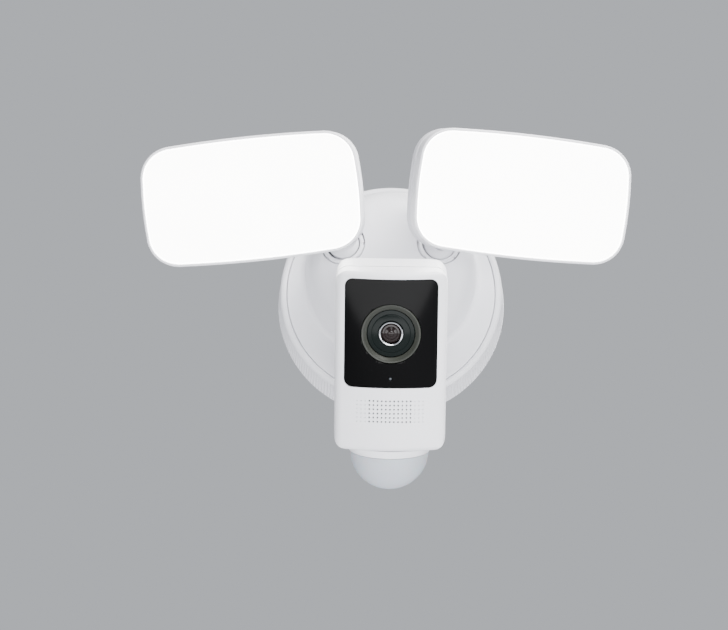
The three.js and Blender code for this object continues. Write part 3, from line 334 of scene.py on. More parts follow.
def lofted(name, rings, ends="cap"):
    """A closed skin through rings with the same number of points, in millimetres.

    A circle is added, set on the first ring, and extruded from ring to ring. The ends are capped with faces,
    drawn to poles, or joined to each other for a hollow ring.
    """
    start_alone()
    count = len(rings[0])
    bpy.ops.mesh.primitive_circle_add(vertices=count, radius=1)
    piece = bpy.context.object
    piece.name = piece.data.name = name
    bpy.ops.object.mode_set(mode="EDIT")
    bpy.ops.mesh.select_mode(type="VERT")
    mesh = bmesh.from_edit_mesh(piece.data)
    mesh.verts.ensure_lookup_table()
    rank = mesh.verts.layers.int.new("rank")
    turn = mesh.verts.layers.int.new("turn")
    for i, vertex in enumerate(mesh.verts):
        vertex.co = Vector(rings[0][i]) * MM
        vertex[turn] = i
        vertex[rank] = 0
    bmesh.update_edit_mesh(piece.data)
    bpy.ops.mesh.select_all(action="SELECT")
    for level, ring in enumerate(rings[1:], 1):
        bpy.ops.mesh.extrude_region_move()
        mesh = bmesh.from_edit_mesh(piece.data)
        rank = mesh.verts.layers.int["rank"]
        turn = mesh.verts.layers.int["turn"]
        for vertex in mesh.verts:
            if vertex.select:
                vertex.co = Vector(ring[vertex[turn]]) * MM
                vertex[rank] = level
        bmesh.update_edit_mesh(piece.data)
    last = len(rings) - 1
    if ends == "ring":
        pick(piece, lambda v: v[rank_of(piece)] in (0, last))
        bpy.ops.mesh.bridge_edge_loops()
    else:
        for level, how in ((0, ends if isinstance(ends, str) else ends[0]),
                           (last, ends if isinstance(ends, str) else ends[1])):
            pick(piece, lambda v: v[rank_of(piece)] == level)
            if how == "pole":
                bpy.ops.mesh.merge(type="CENTER")
            else:
                bpy.ops.mesh.edge_face_add()
    bpy.ops.mesh.select_all(action="SELECT")
    bpy.ops.mesh.remove_doubles(threshold=1e-7)
    bpy.ops.mesh.normals_make_consistent(inside=False)
    bpy.ops.object.mode_set(mode="OBJECT")
    return piece


def rank_of(piece):
    return bmesh.from_edit_mesh(piece.data).verts.layers.int["rank"]


def circle(radius, distance, steps, centre=(0, 0)):
    """A ring round the -Y axis, at a distance in front of the origin."""
    return [(centre[0] + radius * math.cos(2 * math.pi * i / steps), -distance,
             centre[1] + radius * math.sin(2 * math.pi * i / steps)) for i in range(steps)]


def turned(name, profile, steps=96, centre=(0, 0), ends="cap"):
    return lofted(name, [circle(r, t, steps, centre) for r, t in profile], ends)


def rounded(points, radius_steps=6, softness=0.35):
    """The same profile with each inner corner eased by a short curve through its neighbours."""
    eased = [points[0]]
    for before, corner, after in zip(points, points[1:], points[2:]):
        a = Vector(corner).lerp(Vector(before), softness)
        b = Vector(corner).lerp(Vector(after), softness)
        for k in range(radius_steps + 1):
            t = k / radius_steps
            eased.append(tuple(a.lerp(Vector(corner), t).lerp(Vector(corner).lerp(b, t), t)))
    eased.append(points[-1])
    return eased


def arc(radius, start, end, steps):
    """Points of an arc round the origin as (radius from the axis, distance along it)."""
    angles = [math.radians(start + (end - start) * k / steps) for k in range(steps + 1)]
    return [(max(radius * math.sin(a), 0.002), radius * math.cos(a)) for a in angles]


def rod(name, radius, y0, y1, at=(0, 0), steps=32):
    return turned(name, [(radius, -y0), (radius, -y1)], steps, at)


def carve(piece, *tools, how="DIFFERENCE"):
    """Cuts, joins or keeps the common part of a piece and each tool, and drops the tools."""
    for tool in tools:
        start_alone(piece)
        change = piece.modifiers.new("carve", "BOOLEAN")
        change.operation = how
        change.solver = "EXACT"
        change.object = tool
        bpy.ops.object.modifier_apply(modifier=change.name)
        bpy.data.objects.remove(tool)
    return piece


def soften(piece, width, segments=2, angle=40):
    """Rounds the piece's hard edges, which shows as a fine bright line on every real moulding."""
    start_alone(piece)
    change = piece.modifiers.new("soften", "BEVEL")
    change.width = width * MM
    change.segments = segments
    change.limit_method = "ANGLE"
    change.angle_limit = math.radians(angle)
    change.use_clamp_overlap = True
    change.harden_normals = False
    bpy.ops.object.modifier_apply(modifier=change.name)
    return piece


def settle(piece, body, node, matrix=None, smooth=35):
    """Puts a finished piece in its place, on its body, for its node, with the node's finish."""
    piece.name = piece.data.name = f"{node}_skin"
    if matrix is not None:
        piece.data.transform(matrix)
    start_alone(piece)
    bpy.ops.object.shade_smooth_by_angle(angle=math.radians(smooth))
    even = piece.modifiers.new("even_shading", "WEIGHTED_NORMAL")
    even.keep_sharp = True
    even.weight = 80
    bpy.ops.object.modifier_apply(modifier=even.name)
    piece.data.materials.clear()
    piece.data.materials.append(SLOT_FINISH[NODE_SLOT[node]])
    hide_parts(node)
    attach(piece, body)
    return piece


def head_matrix(place, yaw, pitch, roll):
    turn = Matrix.Rotation(math.radians(yaw), 4, "Z") @ Matrix.Rotation(math.radians(pitch), 4, "X")
    turn = turn @ Matrix.Rotation(math.radians(roll), 4, "Y")
    return Matrix.Translation(Vector(place) * MM) @ turn


def box(name, low, high):
    start_alone()
    middle = [(a + b) / 2 * MM for a, b in zip(low, high)]
    bpy.ops.mesh.primitive_cube_add(size=1, location=middle)
    piece = bpy.context.object
    piece.name = piece.data.name = name
    piece.scale = [(b - a) * MM for a, b in zip(low, high)]
    bpy.ops.object.transform_apply(location=True, rotation=True, scale=True)
    return piece


# ---------------------------------------------------------------- base on the wall


def ribbed_circle(radius, distance, depth):
    """A ring round the base whose radius dips between its ribs."""
    points = []
    for i in range(RIB_COUNT * 6):
        dip = (0.0, 0.12, 0.62, 1.0, 0.62, 0.12)[i % 6]
        points.append((radius - depth * dip, 2 * math.pi * i / (RIB_COUNT * 6)))
    return [(r * math.cos(a), -distance, r * math.sin(a)) for r, a in points]


RING_BACK = 2.3
WEB_FRONT = 4.8
LEDGE_FRONT = COVER_BACK - GAP
LEDGE_INNER = BASE_FRONT_R - RIM_LIP - 3.9
RING_PROFILE = [
    (26.0, RING_BACK, 0), (26.4, RING_BACK - 0.0, 0), (BASE_BACK_R - 0.9, RING_BACK, 0),
    (BASE_BACK_R - 0.2, RING_BACK + 0.25, 0), (BASE_BACK_R, RING_BACK + 0.8, 0),
    (BASE_BACK_R - 0.05, RING_BACK + 1.6, RIB_DEPTH * 0.2), (BASE_BACK_R - 0.1, RING_BACK + 2.2, RIB_DEPTH),
    (66.3, 16.0, RIB_DEPTH), (BASE_FRONT_R + 0.35, BASE_DEPTH - 2.9, RIB_DEPTH),
    (BASE_FRONT_R + 0.25, BASE_DEPTH - 2.3, RIB_DEPTH * 0.25), (BASE_FRONT_R + 0.1, BASE_DEPTH - 1.9, 0),
    (BASE_FRONT_R - 0.25, BASE_DEPTH - 1.1, 0), (BASE_FRONT_R - 0.85, BASE_DEPTH - 0.4, 0),
    (BASE_FRONT_R - 1.7, BASE_DEPTH - 0.05, 0), (BASE_FRONT_R - 2.4, BASE_DEPTH, 0),
    (BASE_FRONT_R - RIM_LIP + 0.25, BASE_DEPTH - 0.02, 0), (BASE_FRONT_R - RIM_LIP, BASE_DEPTH - 0.25, 0),
    (BASE_FRONT_R - RIM_LIP, LEDGE_FRONT, 0), (LEDGE_INNER, LEDGE_FRONT, 0),
    (LEDGE_INNER, LEDGE_FRONT - 2, 0), (BASE_FRONT_R - 2.8, LEDGE_FRONT - 2, 0),
    (BASE_BACK_R - 2.8, WEB_FRONT, 0), (26.0, WEB_FRONT, 0),
]


def base_ring():
    ring = lofted("base_ring_skin", [ribbed_circle(r, t, dip) for r, t, dip in RING_PROFILE], "ring")
    lock_block = box("lock_block", (-6.5, -22, -63.5), (6.5, -WEB_FRONT + 0.5, -53))
    carve(ring, lock_block, how="UNION")
    for x in (-32, 32):
        for z in (-31, -1):
            carve(ring, rod("post", 3, -WEB_FRONT - 6, -WEB_FRONT + 0.5, (x, z)), how="UNION")
    shank_hole, head_hole = rod("shank_hole", 2.8, 30, 72), rod("head_hole", 4.3, 62.6, 72)
    down = Matrix.Translation((0, -LOCK_SCREW_DEPTH * MM, 0)) @ Matrix.Rotation(-math.pi / 2, 4, "X")
    for hole in (shank_hole, head_hole):
        hole.data.transform(down)
    screw_holes = [rod("screw_hole", 5, -WEB_FRONT - 1, 0, (side * SLOT_RADIUS, 0)) for side in (-1, 1)]
    carve(ring, shank_hole, head_hole, *screw_holes)
    settle(ring, "root", "base_ring", smooth=50)


def hub_profile(inset, back):
    top = COVER_FACE + HUB_HEIGHT - inset
    r = HUB_R - inset
    foot = [(r - 1, back)]
    if not inset:
        foot = [(r + HUB_FILLET, back), (r + HUB_FILLET, COVER_FACE + 0.01)]
        foot += [(r + HUB_FILLET * (1 - math.sin(a)), COVER_FACE + HUB_FILLET * (1 - math.cos(a)))
                 for a in (math.radians(d) for d in (15, 30, 45, 60, 75))]
    side = [(r, COVER_FACE + HUB_FILLET), (r - 0.6, COVER_FACE + 7.5), (r - 2.5, COVER_FACE + HUB_HEIGHT * 0.5),
            (r - 5.5, COVER_FACE + HUB_HEIGHT * 0.7), (r - 10.5, COVER_FACE + HUB_HEIGHT * 0.86 - inset * 0.5),
            (r - 20, COVER_FACE + HUB_HEIGHT * 0.96 - inset * 0.8), (r - 34, top - 0.2), (0.002, top)]
    return foot + smooth_run(side, 5)


def smooth_run(points, steps):
    """A Catmull-Rom curve through the points, which keeps both ends."""
    run = []
    ends = [points[0]] + list(points) + [points[-1]]
    for a, b, c, d in zip(ends, ends[1:], ends[2:], ends[3:]):
        for k in range(steps):
            t = k / steps
            run.append(tuple(0.5 * (2 * q + (r - p) * t + (2 * p - 5 * q + 4 * r - s) * t * t
                                    + (3 * q - p - 3 * r + s) * t ** 3)
                             for p, q, r, s in zip(a, b, c, d)))
    return run + [points[-1]]


def base_cover(bores):
    edge = [(COVER_R - 0.8 + 0.8 * math.sin(a), COVER_FACE - 0.8 + 0.8 * math.cos(a))
            for a in (math.radians(d) for d in (90, 67, 45, 22, 0))]
    cover = turned("cover_skin", [(0.002, COVER_BACK), (COVER_R, COVER_BACK)] + edge + [(0.002, COVER_FACE)],
                   160, ends="pole")
    dome = turned("hub", hub_profile(0, COVER_BACK + 0.5), 160, (0, HUB_RISE), ("cap", "pole"))
    limit = rod("limit", COVER_R - 0.02, -COVER_FACE - HUB_HEIGHT - 1, -COVER_BACK, steps=160)
    carve(dome, limit, how="INTERSECT")
    carve(cover, dome, how="UNION")
    hollow = turned("hollow", hub_profile(HUB_WALL, COVER_BACK - 1), 96, (0, HUB_RISE), ("cap", "pole"))
    carve(cover, hollow, *bores)
    soften(cover, 0.35, 2, 50)
    settle(cover, "root", "base_cover", smooth=30)


def plate_and_gasket():
    plate = turned("plate", [(0.002, 0), (PLATE_R, 0), (PLATE_R, PLATE_THICK), (0.002, PLATE_THICK)],
                   96, ends="pole")
    cutters = [rod("wire_hole", WIRE_HOLE_R, -PLATE_THICK - 1, 1, (0, WIRE_HOLE_RISE), 48)]
    for side in (-1, 1):
        middle = side * SLOT_RADIUS
        half = (SLOT_LENGTH - SLOT_WIDTH) / 2
        slot = box("slot", (middle - half, -PLATE_THICK - 1, -SLOT_WIDTH / 2),
                   (middle + half, 1, SLOT_WIDTH / 2))
        for end in (-1, 1):
            cap = rod("slot_end", SLOT_WIDTH / 2, -PLATE_THICK - 1, 1, (middle + end * half, 0), 32)
            carve(slot, cap, how="UNION")
        cutters.append(slot)
    carve(plate, *cutters)
    soften(plate, 0.25, 2, 50)
    settle(plate, "root", "mounting_plate")
    low, high = [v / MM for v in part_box("wall_gasket")[0]], [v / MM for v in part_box("wall_gasket")[1]]
    outer = high[0]
    front, back = -low[1], -high[1]
    profile = [(outer - 6, back), (outer - 0.4, back), (outer, back + 0.4), (outer, front - 0.4),
               (outer - 0.4, front), (outer - 6, front)]
    settle(turned("gasket_ring", profile, 128, ends="ring"), "root", "wall_gasket")


def lock_screw():
    seat = BASE_FRONT_R - 2.4
    profile = [(0.002, seat - 12), (2.2, seat - 12), (2.5, seat - 11.5), (2.5, seat + 0.3), (4, seat + 0.3),
               (4, seat + 1.5), (3.7, seat + 2.2), (3.0, seat + 2.6), (1.8, seat + 2.7), (0.002, seat + 2.7)]
    screw = turned("screw", profile, 48, ends="pole")
    carve(screw, box("drive", (-2.4, -seat - 4, -0.5), (2.4, -seat - 1.5, 0.5)),
          box("drive", (-0.5, -seat - 4, -2.4), (0.5, -seat - 1.5, 2.4)))
    soften(screw, 0.12, 2, 50)
    down = Matrix.Translation((0, -LOCK_SCREW_DEPTH * MM, 0)) @ Matrix.Rotation(math.pi / 2, 4, "X")
    settle(screw, "root", "lock_screw", down)


# ---------------------------------------------------------------- ball joints


def joint_pieces(name, fixed, leaning):
    """The socket, the lugged collar and the shroud of one ball joint, made round its ball's centre."""
    seat = [(r, min(t, -GAP)) for r, t in arc(11.0, 90, 180, 24)]
    socket = turned("socket", [(12.5, -GAP), *seat[:-1], (3.0, -10.58), (3.0, -13.5), (12.1, -13.5), (12.5, -13.1)],
                    72, ends="ring")
    settle(socket, "root", f"{name}_socket", fixed)

    mouth = arc(COLLAR_INNER, COLLAR_MOUTH, 90, 10)
    lip_r, lip_t = mouth[0]
    profile = [(COLLAR_R, 0), (COLLAR_R, COLLAR_LENGTH - 1.3), (COLLAR_R - 0.12, COLLAR_LENGTH - 0.75),
               (COLLAR_R - 0.45, COLLAR_LENGTH - 0.3), (COLLAR_R - 1.0, COLLAR_LENGTH),
               (lip_r + 0.7, COLLAR_LENGTH), (lip_r + 0.25, COLLAR_LENGTH - 0.3),
               (lip_r, COLLAR_LENGTH - 0.9), *mouth]
    ring = turned("collar", profile, 96, ends="ring")
    for i in range(COLLAR_LUGS):
        angle = i * 2 * math.pi / COLLAR_LUGS
        at = (math.cos(angle) * (COLLAR_R + 0.9), math.sin(angle) * (COLLAR_R + 0.9))
        carve(ring, rod("notch", 1.6, -COLLAR_LENGTH - 1, -COLLAR_LENGTH + 2.4, at, 24))
    soften(ring, 0.18, 2, 45)
    settle(ring, f"{name}_collar", f"{name}_collar", fixed)

    zone = arc(SHROUD_OUTER, 60, 30, 20) + arc(SHROUD_INNER, 30, 60, 20)
    settle(turned("shroud", zone, 80, ends="ring"), f"{name}_tilt", f"{name}_shroud", leaning)


def bore(matrix):
    hole = rod("bore", BORE_R, -COLLAR_LENGTH - 6, 15.5, steps=80)
    hole.data.transform(matrix)
    return hole


def ball_and_stem(ball, end, stem_r, flare):
    """A ball with a straight stem to a far point, thickening over its last millimetres."""
    start, stop = Vector(ball), Vector(end)
    away = (stop - start).normalized()
    length = (stop - start).length
    neck = math.sqrt(BALL_R ** 2 - stem_r ** 2)
    front = math.degrees(math.asin(stem_r / BALL_R))
    profile = arc(BALL_R, 180, front + 6, 28)
    profile += [(stem_r + 0.35, neck + 0.5), (stem_r, neck + 1.6), (stem_r, length - 3.5)]
    profile += [(stem_r + flare * 0.15, length - 2.2), (stem_r + flare * 0.5, length - 1.1),
                (stem_r + flare, length)]
    stem = turned("stem", profile, 64, ends=("pole", "cap"))
    turn = Vector((0, -1, 0)).rotation_difference(away).to_matrix().to_4x4()
    stem.data.transform(Matrix.Translation(start * MM) @ turn)
    return stem


# ---------------------------------------------------------------- lamp heads


def curve_run(points, steps):
    """Points along a Bezier curve, without its end."""
    run = []
    for k in range(steps):
        t = k / steps
        level = [Vector(p) for p in points]
        while len(level) > 1:
            level = [a.lerp(b, t) for a, b in zip(level, level[1:])]
        run.append(tuple(level[0]))
    return run


def soft_rectangle(width, height, corner, bulge=0.0, steps=10):
    """A rounded rectangle in the X-Z plane whose long sides bow out a little."""
    x, z, b = width / 2, height / 2, bulge
    r = min(corner, x, z)
    k = r * 0.5523
    quarters = [
        [(x - r, -z + b), (x - r + k, -z + b), (x - b / 2, -z + r - k), (x - b / 2, -z + r)],
        [(x - b / 2, -z + r), (x + b / 2, 0), (x - b / 2, z - r)],
        [(x - b / 2, z - r), (x - b / 2, z - r + k), (x - r + k, z - b), (x - r, z - b)],
        [(x - r, z - b), (0, z + b), (-x + r, z - b)],
        [(-x + r, z - b), (-x + r - k, z - b), (-x + b / 2, z - r + k), (-x + b / 2, z - r)],
        [(-x + b / 2, z - r), (-x - b / 2, 0), (-x + b / 2, -z + r)],
        [(-x + b / 2, -z + r), (-x + b / 2, -z + r - k), (-x + r - k, -z + b), (-x + r, -z + b)],
        [(-x + r, -z + b), (0, -z - b), (x - r, -z + b)],
    ]
    return [point for quarter in quarters for point in curve_run(quarter, steps)]


def lamp_ring(inset, depth):
    """The lamp's outline drawn in by an inset, at a depth behind its face."""
    outline = soft_rectangle(LAMP_W - 2 * inset, LAMP_H - 2 * inset, LAMP_CORNER - inset, LAMP_BULGE, 12)
    return [(x, depth, z) for x, z in outline]


def rounded_edge(inset, depth, radius, steps=4):
    """Insets and depths that ease a front outer edge with the given radius."""
    angles = [math.radians(90 * k / steps) for k in range(steps + 1)]
    return [(inset + radius * (1 - math.cos(a)), depth + radius * (1 - math.sin(a))) for a in angles]


def lamp_pieces(side):
    face, yaw, pitch, roll, hand = LAMPS[side]
    name = f"lamp_{side}"
    matrix = head_matrix(face, yaw, pitch, roll)
    body = f"{name}_head"
    ball_world = Vector((hand * LAMP_BALL[0], LAMP_BALL[1], LAMP_BALL[2])) * MM
    ball = matrix.inverted() @ ball_world / MM
    foot = Vector((ball.x, LAMP_BACK, ball.z + ARM_RISE))

    diffuser_back = 3.1
    ledge = diffuser_back + GAP
    profile = [(0.25, BEZEL_DEPTH)] + [(0, BEZEL_DEPTH - 0.3), (0, 6), (0, 1.1)] + rounded_edge(0, 0, 0.9)[1:]
    profile += [(BEZEL_WALL - 0.35, 0), (BEZEL_WALL - 0.1, 0.1), (BEZEL_WALL, 0.35), (BEZEL_WALL, ledge),
                (BEZEL_WALL + BEZEL_LEDGE, ledge), (BEZEL_WALL + BEZEL_LEDGE, ledge + 1.6),
                (BEZEL_WALL + 0.4, ledge + 1.6), (BEZEL_WALL + 0.4, BEZEL_DEPTH)]
    bezel = lofted("bezel", [lamp_ring(i, d) for i, d in profile], "ring")
    settle(bezel, body, f"{name}_bezel", matrix)

    rim = BEZEL_WALL + GAP
    profile = [(rim + 0.5, diffuser_back), (rim, diffuser_back - 0.4), (rim, 1.3)]
    profile += rounded_edge(rim, 0.55, 0.9)[1:] + [(rim + 4, 0.5), (rim + 12, 0.5)]
    cover = lofted("diffuser", [lamp_ring(i, d) for i, d in profile])
    settle(cover, body, f"{name}_diffuser", matrix)

    y0, y1 = BEZEL_DEPTH + GAP, BEZEL_DEPTH + GAP + 0.8
    profile = [(0.7, y0), (0.5, y0 + 0.2), (0.5, y1 - 0.2), (0.7, y1), (3.2, y1), (3.2, y0)]
    seal = lofted("lamp_seal", [lamp_ring(i, d) for i, d in profile], "ring")
    settle(seal, body, f"{name}_gasket", matrix)

    housing = lamp_housing(foot)
    settle(housing, body, f"{name}_housing", matrix)

    seat = LAMP_BACK - 3 + GAP
    stem = ball_and_stem(ball, (foot.x, seat + 1.5, foot.z), STEM_R, 1.6)
    disc = turned("foot", [(0.002, -seat), (FOOT_R - 0.4, -seat), (FOOT_R, -seat - 0.4), (FOOT_R, -seat - 2.0),
                           (FOOT_R - 0.3, -seat - 2.6), (FOOT_R - 1.1, -seat - 3), (0.002, -seat - 3)],
                  64, (foot.x, foot.z), "pole")
    carve(stem, disc, how="UNION")
    carve(stem, rod("screw_hole", 1.6, seat - 1, seat + 2.7, (foot.x, foot.z)))
    settle(stem, body, f"{name}_arm", matrix)


def lamp_housing(foot):
    """The cast back of a lamp: a rounded tray with cooling grooves and a boss for the arm."""
    front, shoulder, back = HOUSING_FRONT, TAPER_START, LAMP_BACK
    profile = [(3, POCKET_FLOOR), (3, front), (0.3, front), (0, front + 0.3), (0, 16), (0, shoulder - 2.4)]
    for degrees in range(0, 91, 9):
        angle = math.radians(degrees)
        profile.append((TAPER_IN * (1 - math.cos(angle)), shoulder - 0.6 + (back - shoulder + 0.6) * math.sin(angle)))
    profile += [(TAPER_IN + 3, back), (TAPER_IN + 8, back)]
    tray = lofted("housing", [lamp_ring(i, d) for i, d in profile])
    boss_r = FOOT_R + 2
    boss = turned("boss", [(0.002, -shoulder), (boss_r, -shoulder), (boss_r, -back + 0.4), (boss_r - 0.4, -back),
                           (0.002, -back)], 64, (foot.x, foot.z), "pole")
    carve(tray, boss, how="UNION")
    shift = -math.copysign(14, foot.x)
    grooves = []
    for i in range(FIN_COUNT):
        x = (i - (FIN_COUNT - 1) / 2) * FIN_PITCH + shift
        half, reach, floor = FIN_GROOVE / 2, LAMP_H / 2 - 12, back - FIN_DEPTH
        groove = box("groove", (x - half, floor, -reach), (x + half, back + 1, reach))
        soften(groove, 1.0, 3)
        lift = box("groove_mouth", (x - half, back - 1.4, -reach), (x + half, back + 2, reach))
        grooves.append(carve(groove, lift, how="UNION"))
    seat = rod("seat", FOOT_R + GAP, back - 3, back + 20, (foot.x, foot.z), 64)
    shank = rod("shank", 2, POCKET_FLOOR - 1, back, (foot.x, foot.z))
    head = rod("head", 4.3, POCKET_FLOOR - 1, POCKET_FLOOR + 3.4, (foot.x, foot.z))
    carve(tray, *grooves, seat, shank, head)
    soften(tray, 0.3, 2, 40)
    return tray


# ---------------------------------------------------------------- camera body


def camera_section(inset, steps=96):
    """The body seen from above: a bowed front, straight sides and rounder back corners."""
    w = CAMERA_W / 2 - inset
    back = CAMERA_D - inset
    r = CAMERA_CROWN_R - inset
    swing = math.asin((w - 4) / r)
    edge = CAMERA_CROWN_R - r * math.cos(swing)
    c = 13 - inset
    bow = [(r * math.sin(a), CAMERA_CROWN_R - r * math.cos(a))
           for a in (swing * (2 * k / steps - 1) for k in range(steps))]
    right = curve_run([(w - 4, edge), (w, edge + 1.6), (w, edge + 7)], 10)
    right += curve_run([(w, edge + 7), (w, back - c)], 4)
    right += curve_run([(w, back - c), (w - 0.3, back - 0.3), (w - c, back)], 12)
    left = curve_run([(-w + c, back), (-w + 0.3, back - 0.3), (-w, back - c)], 12)
    left += curve_run([(-w, back - c), (-w, edge + 7)], 4)
    left += curve_run([(-w, edge + 7), (-w, edge + 1.6), (-w + 4, edge)], 10)
    return bow + right + curve_run([(w - c, back), (-w + c, back)], 4) + left


def camera_block(name, inset, edge=2.6):
    """The whole body as one solid, drawn in by an inset, its top and bottom edges rounded."""
    low, high = -CAMERA_BOTTOM + inset, CAMERA_TOP - inset
    angles = [math.radians(90 * k / 5) for k in range(6)]
    levels = [(inset + edge * (1 - math.sin(a)), low + edge * (1 - math.cos(a))) for a in angles]
    rows = [low + edge + (high - low - 2 * edge) * k / 16 for k in range(1, 16)]
    levels += [(inset, z) for z in rows] + [(i, high - (z - low)) for i, z in reversed(levels)]
    tall = lofted(name, [[(x, y, z) for x, y in camera_section(i)] for i, z in levels])
    outline = soft_rectangle(CAMERA_W - 2 * inset, high - low, 7 - inset / 2, 0, 12)
    middle = (high + low) / 2
    facing = lofted("facing", [[(x, y, z + middle) for x, z in outline] for y in (-5, CAMERA_D + 5)])
    return carve(tall, facing, how="INTERSECT")


def slice_between(piece, y0, y1):
    return carve(piece, box("slice", (-100, y0, -200), (100, y1, 200)), how="INTERSECT")


def opening(name, gap, y0, y1, width=WINDOW_W, height=WINDOW_H, corner=WINDOW_CORNER):
    outline = soft_rectangle(width - 2 * gap, height - 2 * gap, corner - gap, 0, 10)
    return lofted(name, [[(x, y, z) for x, z in outline] for y in (y0, y1)])


def grille_rods(columns, radius, reach):
    """Thin rods for one set of the grille's columns, joined into one cutter that goes to a depth for each x."""
    rods = []
    for i in columns:
        x = (i - (GRILLE_COLUMNS - 1) / 2) * GRILLE_PITCH_X
        first = rod("sound_hole", radius, -1, reach(x), steps=16)
        for j in range(GRILLE_ROWS):
            z = (j - (GRILLE_ROWS - 1) / 2) * GRILLE_PITCH_Z - GRILLE_DROP
            copy = first.copy()
            copy.data = first.data.copy()
            copy.data.transform(Matrix.Translation((x * MM, 0, z * MM)))
            bpy.context.scene.collection.objects.link(copy)
            rods.append(copy)
        bpy.data.objects.remove(first)
    start_alone(rods[0])
    for one in rods:
        one.select_set(True)
    bpy.ops.object.join()
    return rods[0]


def camera_shells(matrix):
    def shell(name):
        return carve(camera_block(name, 0.08), camera_block("inside", CAMERA_WALL, 1.0))

    def bottom_hole():
        hole = turned("bottom_hole", [(14, CAMERA_BOTTOM - 5), (14, CAMERA_BOTTOM + 1)], 64)
        hole.data.transform(Matrix.Translation((0, CAMERA_D / 2 * MM, 0)) @ Matrix.Rotation(math.pi / 2, 4, "X"))
        return hole

    front = slice_between(shell("front_shell"), -5, SPLIT_FRONT)
    carve(front, bottom_hole())
    carve(front, opening("window_opening", 0, -2, 10))
    soften(front, 0.45, 3, 38)
    side = (GRILLE_COLUMNS - GRILLE_OPEN_COLUMNS) // 2
    carve(front, grille_rods(range(side, GRILLE_COLUMNS - side), GRILLE_HOLE_R, lambda x: 6))
    outer_columns = [*range(side), *range(GRILLE_COLUMNS - side, GRILLE_COLUMNS)]
    carve(front, grille_rods(outer_columns, GRILLE_HOLE_R * 0.85, lambda x: bow_depth(x) + 1.0))
    settle(front, "camera_head", "camera_front_shell", matrix, 30)

    rear = slice_between(shell("rear_shell"), SPLIT_REAR, CAMERA_D + 5)
    half, top, hinge_drop = DOOR_W / 2, -DOOR_DROP + DOOR_H / 2, DOOR_DROP + DOOR_H / 2
    floor = CAMERA_D - 4.5
    carve(rear, box("pocket_back", (-half - 2, floor - CAMERA_WALL, -hinge_drop - 4),
                    (half + 2, CAMERA_D - 1, top + 2.5)), how="UNION")
    pocket = box("pocket", (-half - GAP, floor, -hinge_drop - 1.5), (half + GAP, CAMERA_D + 1, top + GAP))
    carve(rear, pocket, bottom_hole(), rod("spigot", 4.8, CAMERA_D - 8, CAMERA_D + 1, (0, 0), 48),
          rod("button_hole", 2.3, 30, CAMERA_D, (8, -DOOR_DROP)),
          box("card_mouth", (-11, 30, -DOOR_DROP - 1.9), (3, CAMERA_D, -DOOR_DROP + 1.9)))
    soften(rear, 0.3, 2, 38)
    settle(rear, "camera_head", "camera_rear_shell", matrix, 30)

    seal = carve(camera_block("seal", 0.4, 1.8), camera_block("inside", CAMERA_WALL, 1.0))
    slice_between(seal, 19.5, 20.5)
    settle(seal, "camera_head", "camera_seal", matrix, 30)


def bow_depth(x):
    """How far the bowed front lies behind its crown at a distance from the middle."""
    return CAMERA_CROWN_R - math.sqrt(CAMERA_CROWN_R ** 2 - x * x)


def camera_face(matrix):
    def tall(name, inset):
        section = camera_section(inset)
        levels = [-CAMERA_BOTTOM - inset + 5 * k for k in range(21)]
        return lofted(name, [[(x, y, z) for x, y in section] for z in levels])

    pane = carve(tall("window", 0.25), tall("behind", 2.25))
    carve(pane, opening("window_edge", GAP, -2, 10), how="INTERSECT")
    carve(pane, rod("lens_hole", LENS_RING_R + GAP, -2, 12, steps=96),
          rod("light_hole", LIGHT_R + GAP, -2, 12, (0, -LIGHT_DROP), 24))
    soften(pane, 0.35, 3, 45)
    settle(pane, "camera_head", "camera_window", matrix, 30)

    def lens(name, node, profile, ends="ring", smooth=30):
        settle(turned(name, profile, 96, ends=ends), "camera_head", node, matrix, smooth)

    inner = LENS_DISC_R + GAP
    lens("olive_ring", "lens_ring",
         [(inner, -8), (LENS_RING_R, -8), (LENS_RING_R, -1.0), (LENS_RING_R - 0.15, -0.66),
          (LENS_RING_R - 0.5, -0.52), (LENS_RING_R - 0.9, -0.6), (LENS_RING_R - 1.6, -1.05),
          (inner + 0.5, -1.75), (inner + 0.12, -1.95), (inner, -2.2)])
    hole = LENS_TRIM_R + GAP
    lens("green_disc", "lens_disc",
         [(hole, -6), (LENS_DISC_R, -6), (LENS_DISC_R, -2.75), (LENS_DISC_R - 0.2, -2.58),
          (LENS_DISC_R - 2.2, -2.4), (LENS_DISC_R - 2.5, -2.55), (LENS_DISC_R - 2.8, -2.36),
          (hole + 0.3, -2.05), (hole, -2.2)])
    bright_inner = LENS_TRIM_R - 1.1
    lens("bright_ring", "lens_trim",
         [(bright_inner, -6), (LENS_TRIM_R, -6), (LENS_TRIM_R, -1.65), (LENS_TRIM_R - 0.15, -1.35),
          (LENS_TRIM_R - 0.45, -1.21), (LENS_TRIM_R - 0.8, -1.3), (bright_inner + 0.05, -1.75), (bright_inner, -1.95)])
    glass_r = bright_inner - GAP
    bowl = [(glass_r, -3.1), (glass_r - 0.35, -2.75), (glass_r - 0.6, -3.0), (glass_r - 1.5, -2.9),
            (glass_r - 1.7, -2.5), (glass_r - 1.95, -2.45), (glass_r - 2.15, -2.8)]
    bowl += [(1.9 * math.sin(math.radians(a)), -2.0 - 0.6 * (1 - math.cos(math.radians(a))))
             for a in (85, 70, 55, 40, 25, 12)]
    lens("lens_bowl", "lens_glass", [(0.002, -6), (glass_r, -6)] + bowl + [(0.002, -1.9)], "pole")
    spot = turned("light_dot", [(0.002, -8), (0.8, -8), (0.8, -0.55), (0.6, -0.41), (0.3, -0.36), (0.002, -0.35)],
                  24, (0, -LIGHT_DROP), "pole")
    settle(spot, "camera_head", "status_light", matrix)


